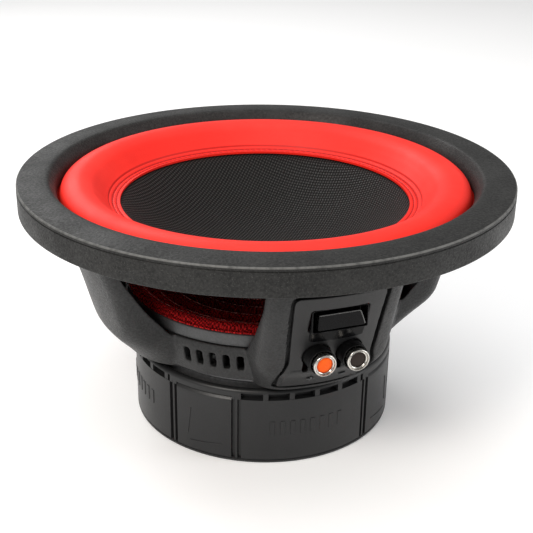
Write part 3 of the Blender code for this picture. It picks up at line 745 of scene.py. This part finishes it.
# ---------------- basket
ARM_LINE = (  # outer side of the basket arms (height, radius)
    (49.5, 81.0), (52.0, 83.2), (56.0, 86.6), (60.0, 90.4), (64.0, 94.2), (68.0, 97.2), (72.0, 98.5),
    (80.0, 100.7), (92.0, 103.9), (104.0, 107.5), (118.0, 112.0), (125.4, 113.0))
ARM_FOOT_Z = 49.5
ARM_HALVES = (36.0, 43.5, 36.0, 43.5)  # half widths, terminal arm first, then round by +X
ARM_CORNER = 8.0  # corner radius of the arms near the flange
CORNERS_LOW = (1.6 * ARM_CORNER, 25.0)  # corner radius at the foot: front and back arms, side arms
TAPERS = (6.0, 3.0)  # narrowing of each side towards the foot, the same way
BAND_R = 78.6  # band under the windows: radius at its top and its lower edge
BAND_LOW_R = 74.6
BAND_LOW_Z = 51.4
SEAT_Z = 72.4
FLOOR_Z0, FLOOR_Z1 = 53.4, 56.4
FLANGE_Z0, FLANGE_Z1 = 125.4, 128.0
WINDOW_TOP_Z = 121.0
INNER_CONE = ((79.2, SEAT_Z), (80.6, SEAT_Z + 0.6), (91.7, 88.0), (102.0, 106.0), (105.0, 117.0),
              (104.0, 129.0))
HOLE_COUNT, HOLE_R, HOLE_CIRCLE_R = 8, 2.6, 123.0
SLOT_COUNT = 5
SLOT_BOX = (-1.75, 57.9, 1.75, 67.0)
SLOT_STEP = math.radians(5.6)
SLOT_AZIMUTH = math.radians(40.2)
BASKET_VOXEL = 0.7
PANEL_T = 2.4
PANEL_OUTLINE = (  # terminal panel seen from the front (x, z, corner radius)
    (-24.2, 115.0, 4.0), (24.2, 115.0, 4.0), (21.9, 74.5, 1.5), (24.8, 64.5, 1.5),
    (22.5, 53.0, 2.0), (-22.5, 53.0, 2.0), (-24.8, 64.5, 1.5), (-21.9, 74.5, 1.5))
PANEL_CLEAR = 0.9  # gap above and below the panel
PANEL_GAP_SIDE = 1.9  # gap beside the panel
PANEL_BED = 4.2  # depth of the bed behind the panel
THROUGH = (-130.0, -60.0)  # Y range of a cutter that passes right through the terminal arm


def arm_radius(height):
    return float(np.interp(height, *zip(*ARM_LINE)))


def arm_core(inset):
    """Solid of revolution that reaches to a depth below the arms' outer side."""
    side = [(arm_radius(z) - inset, z) for z in np.linspace(ARM_FOOT_Z, FLANGE_Z0, 26)]
    profile = [(0.0, 40.0), (side[0][0] - 3.0, 40.0), *side, (side[-1][0], 135.0), (0.0, 135.0)]
    return lathe("core", profile, None, 160)


def arm_section(half, height, corner_low, taper):
    """Plan outline of an arm that points along -Y, with large round corners."""
    radius = arm_radius(height)
    half -= float(np.interp(height, (52.0, 72.0), (taper, 0.0)))
    reaches = (corner_low, 0.75 * corner_low, ARM_CORNER, 7.0)
    reach = float(np.interp(height, (50.0, 62.0, 74.0, 104.0), reaches))
    edge = math.asin(half / radius)
    corner = Vector((half, -radius * math.cos(edge)))
    on_side = Vector((half, corner.y + reach))
    face = edge - reach / radius
    on_face = Vector((radius * math.sin(face), -radius * math.cos(face)))
    right = bend(on_face, corner, on_side, 8)
    arc = []
    for i in range(-9, 10):
        angle = face * i / 10.0
        arc.append(Vector((radius * math.sin(angle), -radius * math.cos(angle))))
    left = [Vector((-p.x, p.y)) for p in reversed(right)]
    plan = [Vector((-half, -38.0)), *left, *arc, *right, Vector((half, -38.0))]
    return [Vector((p.x, p.y, height)) * MM for p in plan]


def make_arm(quarter):
    half = ARM_HALVES[quarter]
    corner_low = CORNERS_LOW[quarter % 2]
    heights = np.linspace(ARM_FOOT_Z, 126.0, 40)
    arm = loft("arm", [arm_section(half, z, corner_low, TAPERS[quarter % 2]) for z in heights])
    motor_room = [(0.0, 45.0), (70.2, 45.0), (70.2, FLOOR_Z0), (66.0, FLOOR_Z0), (66.0, 58.4), (0.0, 58.4)]
    cut(arm, lathe("motor_room", motor_room, None, 120))
    inside = [(0.0, 57.0), (72.0, 57.0), (72.0, SEAT_Z), *INNER_CONE, (104.0, 140.0), (0.0, 140.0)]
    cut(arm, lathe("inside", inside, None, 120))
    if quarter:                     # the terminal arm stays solid behind its panel
        pocket = lathe("pocket", [
            (79.6, 60.0), (88.0, 62.5), (94.2, 68.6), (97.4, 80.0), (100.6, 92.0), (104.0, 104.0),
            (107.0, 113.5), (96.0, 113.5), (79.6, 84.0)], None, 120)
        inside_half = half - 0.6 * corner_low
        cut(pocket, block("slab", (-inside_half, -150.0, 50.0), (inside_half, -40.0, 130.0)), "INTERSECT")
        cut(arm, pocket)
    arm.data.transform(Matrix.Rotation(math.radians(90.0) * quarter, 4, "Z"))
    return arm


def make_basket():
    flange = lathe("flange", [
        (104.2, 120.6), (111.6, WINDOW_TOP_Z - 0.4), (113.0, FLANGE_Z0 - 2.0), (115.0, FLANGE_Z0),
        (FLANGE_R, FLANGE_Z0), (FLANGE_R, FLANGE_Z1), (104.0, FLANGE_Z1)], None, 240)
    holes = []
    for i in range(HOLE_COUNT):
        hole = lathe("hole", rect(0.0, 120.0, HOLE_R, 132.0), None, 24)
        hole.data.transform(Matrix.Translation(polar(HOLE_CIRCLE_R, 0.0, TAU * (i + 0.5) / HOLE_COUNT)))
        holes.append(hole)
    cut(flange, joined("holes", holes))

    band = lathe("band", [
        (31.0, FLOOR_Z0), (72.6, FLOOR_Z0), (72.6, BAND_LOW_Z), (BAND_LOW_R, BAND_LOW_Z),
        (BAND_R, SEAT_Z - 4.0), (BAND_R, SEAT_Z), (72.0, SEAT_Z), (72.0, FLOOR_Z1 + 2.0),
        (70.0, FLOOR_Z1), (31.0, FLOOR_Z1)], None, 240)
    slots = []
    for side in (1, -1):
        for back in (0, 1):
            for i in range(SLOT_COUNT):
                angle = SLOT_AZIMUTH + (i - (SLOT_COUNT - 1) / 2.0) * SLOT_STEP
                slot = prism_y("slot", rounded(rect(*SLOT_BOX), 0.9), -90.0, -60.0)
                turn = side * (math.pi - angle if back else angle)
                slot.data.transform(Matrix.Rotation(turn, 4, "Z"))
                slots.append(slot)
    cut(band, joined("slots", slots))

    arms = [make_arm(quarter) for quarter in range(4)]
    wide = []
    for x, z, r in PANEL_OUTLINE:
        grow = 1.6 * PANEL_CLEAR if z > 100.0 else (-PANEL_CLEAR if z < 54.0 else 0.0)
        wide.append((x + math.copysign(PANEL_GAP_SIDE, x), z + grow, r))
    recess = prism_y("recess", rounded(wide, 1.0), *THROUGH)
    cut(recess, arm_core(PANEL_BED))
    cut(arms[0], recess)
    cut(arms[0], block("opening", (-19.0, -112.0, 66.6), (19.0, -80.0, 109.5)))
    cut(band, block("opening", (-19.0, -112.0, 66.6), (19.0, -72.5, 74.0)))

    basket = cast("basket_casting", [flange, band, *arms], BASKET_VOXEL, 4, PAINT)
    place(basket, "frame", "basket_paint", "basket")


# ---------------- terminal panel and terminals
PUSH_X = 8.8
PUSH_Z = 78.6
CAP_R = 5.9
CAP_FRONT_Y = -110.5
CAP_BACK_Y = -101.4
INSERT_R = 4.55
INSERT_BACK_Y = -107.4
INSERT_SEEN_R = 4.05  # the chrome lip covers the insert outside this radius
LIP_STEPS = ((0.0, 1.4), (0.0, 0.9), (0.15, 0.6), (0.45, 0.45), (0.7, 0.6), (0.8, 0.9), (0.95, 0.9),
             (1.05, 0.35), (1.2, 0.08), (1.4, 0.0))      # lip of the cap from the seen insert outwards
RIM_STEPS = ((-0.25, 0.08), (-0.06, 0.3), (0.0, 0.6), (0.0, 1.7), (-0.2, 1.85))  # its rim at CAP_R
BODY_R = 6.9
BODY_FRONT_Y = -107.0
BODY_BACK_Y = -95.5
POCKET = (15.2, 94.2, 107.2)  # half width, lower and upper height
LABEL = (14.4, 88.3, 94.4)  # the same of the label plate
PANEL_VOXEL = 0.42
BLOCK_VOXEL = 0.28
MARK_Z = 62.0
PANEL_SUNK = 0.7  # panel face below the arm face
LABEL_PROUD = 1.0
ENTRY_OFF = 4.4  # the wire entry lies this far beside its barrel


def on_arm_skin(name, body, inset, proud):
    """Cuts a prism down to the shell between two depths of the arm's outer side."""
    cut(body, arm_core(inset))
    cut(body, arm_core(-proud), "INTERSECT")
    body.name = name
    return body


def make_panel():
    panel = prism_y("plate", rounded(PANEL_OUTLINE, 1.0), *THROUGH)
    on_arm_skin("plate", panel, PANEL_T, -PANEL_SUNK)
    half, low, high = LABEL
    label_outline = ((-half, high), (-half + 0.2, low, 1.4), (half - 0.2, low, 1.4), (half, high))
    label = prism_y("label", rounded(label_outline, 0.4), *THROUGH)
    on_arm_skin("label", label, 1.4, LABEL_PROUD - PANEL_SUNK)
    step_outline = ((-20.4, 69.2), (-22.6, 63.9), (-20.9, 54.8), (20.9, 54.8), (22.6, 63.9), (20.4, 69.2))
    step = prism_y("step", rounded(step_outline, 1.0), *THROUGH)
    on_arm_skin("step", step, 1.4, -0.05)
    for part in (panel, label, step):
        for side in (-1, 1):
            cut(part, lathe_y("hole", rect(0.0, THROUGH[1], BODY_R + 0.3, THROUGH[0]), side * PUSH_X, PUSH_Z))
    half, low, high = POCKET
    cut(panel, prism_y("pocket", rounded(rect(-half, low, half, high), 1.2), *THROUGH))
    cut(label, block("pocket", (-half, THROUGH[0], low), (half, THROUGH[1], high)))
    for x in (-PUSH_X - ENTRY_OFF, PUSH_X - ENTRY_OFF):
        for part in (panel, step):
            cut(part, block("entry", (x - 1.6, THROUGH[0], 68.6), (x + 1.4, THROUGH[1], 77.6)))
    panel = cast("terminal_panel_face", [panel, step], PANEL_VOXEL, 3, PANEL)
    place(panel, "frame", "panel_plastic", "terminal_panel")
    place(cast("label_plate", [label], BLOCK_VOXEL, 2, GLOSS), "frame", "gloss_black")

    marks = []
    for x, bars in ((-PUSH_X, ((1.9, 0.35), (0.35, 1.9))), (PUSH_X, ((1.9, 0.35),))):
        for wide, tall in bars:
            outline = [(x + p.x, MARK_Z + p.y) for p in rounded(rect(-wide, -tall, wide, tall), 0.3, 3)]
            marks.append(on_arm_skin("mark", prism_y("mark", outline, *THROUGH), 0.2, 1.15))
    place(joined("polarity_marks", marks, RING_GREY), "frame", "panel_plastic")


def make_recess_block():
    half, low, high = POCKET
    housing = block("housing", (-half + 0.3, -106.2, low + 0.3), (half - 0.3, -96.0, high - 0.3))
    edge = housing.modifiers.new("edge", "BEVEL")
    edge.width = 0.5 * MM
    edge.segments = 3
    evaluated(housing)
    cavity = rounded(rect(-half + 1.0, low + 0.9, half - 1.0, high - 0.9), 0.8)
    cut(housing, prism_y("cavity", cavity, -120.0, -99.0))
    plug_outline = ((-11.8, low + 1.7), (13.3, low + 1.7), (10.4, high - 2.9), (-11.4, high - 2.9))
    plug = prism_y("plug", rounded(plug_outline, 0.6), -106.4, -98.0)
    piece = cast("recess_block_gloss", [housing, plug], BLOCK_VOXEL, 3, GLOSS)
    place(piece, "frame", "gloss_black", "recess_block")
    # painted highlight: a lighter cord along the plug's top and right front edges, where the gloss catches
    # the light
    edge_y = -106.45
    rim = [(-11.0, edge_y, high - 3.15), (0.0, edge_y, high - 3.15), (9.7, edge_y, high - 3.15),
           (10.3, edge_y, high - 3.5), (11.5, edge_y, high - 6.4), (12.9, edge_y, low + 2.6)]
    path = [p * MM for p in smooth_line(rim, 0.8)]
    place(tubes("recess_plug_highlight", [path], 0.3, PLUG_GLINT, 8), "frame", "gloss_black")


def helix(x, start_y, end_y, radius, turns, steps=14):
    """Points in metres of a coil along Y, with that many steps to a turn."""
    path = []
    for i in range(turns * steps + 1):
        t = i / (turns * steps)
        angle = TAU * turns * t
        y = start_y + (end_y - start_y) * t
        path.append(Vector((x + radius * math.cos(angle), y, PUSH_Z + radius * math.sin(angle))) * MM)
    return path


def make_terminals():
    inserts = ((-1, "left", ORANGE, "orange_insert"), (1, "right", DARK, "dark_insert"))
    for side, word, insert_mat, insert_slot in inserts:
        x = side * PUSH_X
        body = "push_" + word
        barrel = rounded((
            (6.25, BODY_FRONT_Y, 0.15), (BODY_R - 0.1, BODY_FRONT_Y, 0.5),
            (BODY_R - 0.1, BODY_FRONT_Y + 2.2, 0.2), (BODY_R, BODY_FRONT_Y + 2.5, 0.2),
            (BODY_R, BODY_BACK_Y, 0.3), (1.8, BODY_BACK_Y, 0.1), (1.8, BODY_BACK_Y - 1.6, 0.1),
            (6.25, BODY_BACK_Y - 1.6, 0.1)), 0.2, 3)
        place(lathe_y("terminal_barrel_" + word, barrel, x, PUSH_Z, BARREL), "frame", "body_plastic",
              "terminal_body_" + word)
        cap = [(INSERT_SEEN_R + r, CAP_FRONT_Y + y) for r, y in LIP_STEPS]
        cap += [(CAP_R + r, CAP_FRONT_Y + y) for r, y in RIM_STEPS]
        cap += [(CAP_R - 0.2, CAP_BACK_Y), (INSERT_R + 0.3, CAP_BACK_Y), (INSERT_R + 0.3, CAP_FRONT_Y + 1.4)]
        place(lathe_y("push_cap_" + word, cap, x, PUSH_Z, CHROME), body, "chrome", "push_ring_" + word)
        front = CAP_FRONT_Y + 1.0
        insert = [(0.0, front), (INSERT_SEEN_R - 0.6, front + 0.05), (INSERT_SEEN_R - 0.1, front + 0.35),
                  (INSERT_R, front + 0.9), (INSERT_R, INSERT_BACK_Y), (0.0, INSERT_BACK_Y)]
        place(lathe_y("push_face_" + word, insert, x, PUSH_Z, insert_mat), body, insert_slot,
              "push_insert_" + word)
        pin = rounded(((0.0, -103.8, 0.0), (1.5, -103.8, 0.6), (1.5, -90.2, 0.2), (0.0, -90.2, 0.0)), 0.2, 3)
        place(lathe_y("contact_post_" + word, pin, x, PUSH_Z, BRASS, 32), "frame", "contact_brass",
              "contact_pin_" + word)
        start_y, end_y = BODY_BACK_Y - 2.3, INSERT_BACK_Y + 0.65
        coil = tubes("push_coil_spring_" + word, [helix(x, start_y, end_y, 3.2, 6)], 0.3, SPRING, 8)
        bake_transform(coil)
        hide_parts("push_spring_" + word)
        outline = rounded(((x - 2.2, PUSH_Z - 2.0), (x + 2.2, PUSH_Z - 2.0), (x + 2.2, PUSH_Z + 5.6),
                           (x + 1.0, PUSH_Z + 7.2), (x - 1.0, PUSH_Z + 7.2), (x - 2.2, PUSH_Z + 5.6)), 0.5, 3)
        lug = prism_y("solder_tab_" + word, outline, -89.9, -88.9, BRASS)
        place(lug, "frame", "contact_brass", "solder_lug_" + word)
        route = ((x, -87.4, PUSH_Z + 5.2), (x, -80.0, 90.5), (x * 1.1, -58.0, 93.5), (x * 1.05, -38.0, 87.6),
                 (x * 0.9, -27.4, 83.0))
        path = [p * MM for p in smooth_line(route, 1.2)]
        lead = tubes("tinsel_wire_" + word, [path], 0.9, BRAID, 12)
        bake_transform(lead)
        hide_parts("tinsel_lead_" + word)


# ---------------- magnet boot and motor
BOOT_TURN = -1.0  # degrees that the boot pattern is turned from the arms
PANEL_EDGE = 30.0  # narrow panels begin this far from an arm's middle, in degrees
GROOVES = (PANEL_EDGE - 1.3, PANEL_EDGE + 1.3)  # twin grooves on the two sides of that edge
GROOVE_HALF, GROOVE_DEPTH = 0.7, 1.9
GROOVE_Z = (2.4, 39.2)
BETWEEN_TOP_Z = 40.5  # top of the rib between twin grooves
SLOPE_Z, SLOPE_DEPTH = (38.4, 40.8), 2.2  # slope at the top of a narrow panel
STRIP_Z, STRIP_DEPTH = (39.4, 43.2), 3.6  # sunken strip above the wide panels
TABS = [-17.9 + 10.9 * i for i in range(5)]  # tabs that cross the strip
TAB_HALF = 1.15
RIBS = [(i - 3.5) * 4.3 for i in range(8)]  # relief bars on a wide panel
RIB_HALF = 1.0
RIB_Z = (18.0, 26.4)
FOOT_LINE_Z = (1.9, 2.4)


def in_range(values, low, high):
    return (values > low) & (values < high)


def on_any(values, middles, half):
    return np.any([in_range(values, middle - half, middle + half) for middle in middles], axis=0)


def boot_radius(angle, z):
    """Outer radius of the boot at angles in degrees and heights, as arrays."""
    local = (angle - BOOT_TURN + 45.0) % 90.0 - 45.0
    off = np.abs(local)
    radius = np.full(np.broadcast(angle, z).shape, BOOT_R)
    radius -= GROOVE_DEPTH * (on_any(off, GROOVES, GROOVE_HALF) & in_range(z, *GROOVE_Z))
    between = in_range(off, GROOVES[0] + GROOVE_HALF, GROOVES[1] - GROOVE_HALF)
    radius -= 0.25 * (between & in_range(z, GROOVE_Z[0], BETWEEN_TOP_Z))
    slope = np.clip((z - SLOPE_Z[0]) / (SLOPE_Z[1] - SLOPE_Z[0]), 0.0, 1.0) * SLOPE_DEPTH
    radius -= slope * ((off > GROOVES[1] + GROOVE_HALF) & in_range(z, *SLOPE_Z))
    strip = (off < GROOVES[0] - GROOVE_HALF) & in_range(z, *STRIP_Z)
    radius -= strip * np.where(on_any(local, TABS, TAB_HALF), 0.15, STRIP_DEPTH)
    radius += 0.35 * (on_any(local, RIBS, RIB_HALF) & in_range(z, *RIB_Z))
    radius -= 0.45 * in_range(z, *FOOT_LINE_Z)
    return radius


def make_boot():
    """Grid of angles and heights whose lines follow every edge of the relief."""
    edges = {0.0} | {s * (middle + t * GROOVE_HALF) for middle in GROOVES for s in (-1, 1) for t in (-1, 1)}
    edges |= {middle + t * TAB_HALF for middle in TABS for t in (-1, 1)}
    edges |= {middle + t * RIB_HALF for middle in RIBS for t in (-1, 1)}
    local = set(np.round(np.arange(-44.0, 46.0, 2.0), 3))
    for edge in edges:
        local = {a for a in local if abs(a - edge) > 0.45}
    for edge in edges:
        local |= {edge - 0.1, edge + 0.1}
    angles = np.array([a + 90.0 * quarter + BOOT_TURN for quarter in range(4) for a in sorted(local)])
    heights = {1.2, 1.6}
    for edge in (*FOOT_LINE_Z, *GROOVE_Z, BETWEEN_TOP_Z, *SLOPE_Z, *STRIP_Z, *RIB_Z):
        heights |= {edge - 0.09, edge + 0.09}
    heights |= set(np.arange(4.0, 38.0, 2.0)) | {41.6, 42.4}
    heights = np.array(sorted(h for h in heights if 1.2 <= h <= 43.4))
    grid = boot_radius(angles[None, :], heights[:, None])
    foot = [(61.0, 2.4), (61.0, 0.3), (61.3, 0.0), (BOOT_R - 1.6, 0.0), (BOOT_R - 0.6, 0.25),
            (BOOT_R - 0.12, 0.7)]
    top = [(BOOT_R - 0.12, 43.8), (BOOT_R - 0.5, 44.5), (BOOT_R - 1.1, 45.0), (BOOT_R - 2.0, 45.3),
           (BOOT_R - 3.2, 45.2), (70.4, 44.8), (69.8, 44.2), (69.7, 2.4)]
    rows = [[(r, z)] * len(angles) for r, z in foot]
    rows += [[(r, z) for r in row] for row, z in zip(grid, heights)]
    rows += [[(r, z)] * len(angles) for r, z in top]
    bm = bmesh.new()
    rings = [[bm.verts.new(polar(r, z, math.radians(a))) for (r, z), a in zip(row, angles)] for row in rows]
    skin(bm, rings + rings[:1], False)
    boot = mesh_object("magnet_boot_rubber", bm, BOOT, 32.0)
    place(boot, "frame", "boot_rubber", "magnet_boot")

    strokes = []
    for quarter in range(4):
        centre = 45.0 + BOOT_TURN + 90.0 * quarter
        side = -1.0 if quarter % 2 else 1.0
        down = [(centre + side * (5.6 + 1.6 * t), 28.0 - 16.0 * t) for t in np.linspace(0.0, 1.0, 9)]
        level = [(centre + side * (6.0 - 14.6 * t), 7.6 + 2.2 * t) for t in np.linspace(0.0, 1.0, 12)]
        for stroke in (down, level):
            strokes.append([polar(BOOT_R + 0.02, z, math.radians(a)) for a, z in stroke])
    place(tubes("boot_corner_lines", strokes, 0.32, BOOT, 8), "frame", "boot_rubber")


def make_motor():
    r = YOKE_HIGH.x
    z0, z1, top = YOKE_LOW.z, 10.8, YOKE_HIGH.z
    yoke = ((9.0, z0, 1.0), (r, z0, 1.2), (r, z1, 0.6), (24.2, z1, 0.4), (24.2, top, 0.8), (9.0, top, 0.8))
    place(lathe("yoke_steel", rounded(yoke, 0.5), ZINC), "frame", "zinc_steel", "yoke")
    for node in ("magnet_lower", "magnet_upper"):
        low, high = node_span(node)
        ring = rounded(rect(33.0, low.z, high.x, high.z), 0.7)
        place(lathe(node + "_ferrite", ring, FERRITE, 128), "frame", "ferrite", node)
    plate = rounded(rect(28.6, TOP_PLATE_LOW.z, TOP_PLATE_HIGH.x, TOP_PLATE_HIGH.z), 0.6)
    # the darker zinc copy paints the shade that falls on the top plate
    place(lathe("top_plate_steel", plate, ZINC_IN_SHADE), "frame", "zinc_steel", "top_plate")
    for i in range(4):
        node = f"basket_screw_{i + 1}"
        low, high = node_span(node)
        centre = (low + high) / 2
        head = rounded(((0.0, 49.2, 0.0), (2.0, 49.2, 0.3), (2.0, 56.7, 0.1), (4.4, 56.7, 0.2),
                        (4.2, 58.5, 0.5), (2.6, 59.4, 0.5), (2.2, 59.4, 0.2), (2.0, 57.8, 0.2),
                        (0.0, 57.8, 0.0)), 0.2, 3)
        screw = lathe(node + "_steel", head, ZINC, 40)
        screw.data.transform(Matrix.Translation((centre.x * MM, centre.y * MM, 0.0)))
        place(screw, "frame", "zinc_steel", node)


# ---------------- floor, light and camera
VIEW_TURN = math.radians(18.4)
VIEW_RISE = math.radians(25.296)
VIEW_ROLL = math.radians(-0.145)
CAMERA_SIDE_MM, CAMERA_BACK_MM, CAMERA_UP_MM = -22.43, 556.43, 328.56
FOCAL_LENGTH = 71.6
SHIFT = (0.0793, 0.0549)


def area_light(name, energy, size, at, towards, size_y=None, colour=(1.0, 1.0, 1.0)):
    light = bpy.data.lights.new(name, "AREA")
    light.energy = energy
    light.size = size
    light.color = colour
    if size_y:
        light.shape = "RECTANGLE"
        light.size_y = size_y
    obj = link(name, light)
    obj.location = at
    obj.rotation_euler = (Vector(towards) - Vector(at)).to_track_quat("-Z", "Y").to_euler()


def make_stage():
    bm = bmesh.new()
    bm.faces.new([bm.verts.new((x, y, 0.0)) for x, y in rect(-5.0, -5.0, 5.0, 5.0)])
    paint = Finish("studio_floor", 0.6, 0.0, 0.3)
    paint.colour(paint.blend(paint.noise(3.0, 2.0), (0.90, 0.90, 0.90), (0.93, 0.93, 0.93)))
    paint.shader.inputs["Emission Color"].default_value = (1.0, 1.0, 1.0, 1.0)
    paint.shader.inputs["Emission Strength"].default_value = 0.14
    floor = mesh_object("studio_floor", bm, paint.mat)
    world = bpy.data.worlds.new("studio")
    bpy.context.scene.world = world
    world.use_nodes = True
    sky = world.node_tree.nodes["Background"]
    sky.inputs["Color"].default_value = (1.0, 1.0, 1.0, 1.0)
    sky.inputs["Strength"].default_value = 0.40
    area_light("key", 12.5, 0.5, (-0.8, -0.6, 1.0), (0.0, 0.0, 0.10), colour=(1.0, 0.95, 0.89))
    area_light("back", 6.0, 0.8, (-0.25, 1.15, 0.9), (0.0, 0.0, 0.12), 0.35)
    area_light("side", 4.0, 0.4, (1.0, -0.55, 0.45), (0.0, 0.0, 0.08), 0.7)
    area_light("overhead", 12.0, 1.6, (0.0, 0.1, 1.7), (0.0, 0.0, 0.0))
    bpy.context.scene.view_settings.view_transform = "Standard"


def make_camera():
    azimuth = -VIEW_TURN
    back = Vector((math.sin(azimuth) * math.cos(VIEW_RISE), -math.cos(azimuth) * math.cos(VIEW_RISE),
                   math.sin(VIEW_RISE)))
    right = Vector((-back.y, back.x, 0.0)).normalized()
    up = back.cross(right)
    camera = bpy.data.cameras.new("camera")
    camera.lens = FOCAL_LENGTH
    camera.sensor_width = 36.0
    camera.shift_x, camera.shift_y = SHIFT
    camera.clip_start = 0.01
    matrix = Matrix((right, up, back)).transposed().to_4x4()
    reach = math.hypot(CAMERA_SIDE_MM, CAMERA_BACK_MM)
    bearing = math.atan2(CAMERA_SIDE_MM, CAMERA_BACK_MM) - VIEW_TURN
    matrix.translation = polar(reach, CAMERA_UP_MM, bearing)
    obj = link("camera", camera)
    obj.matrix_world = matrix @ Matrix.Rotation(VIEW_ROLL, 4, "Z")
    bpy.context.scene.camera = obj


make_camera()
make_stage()
make_trim()
make_surround()
make_cone()
make_spider()
make_basket()
make_panel()
make_recess_block()
make_terminals()
make_boot()
make_motor()
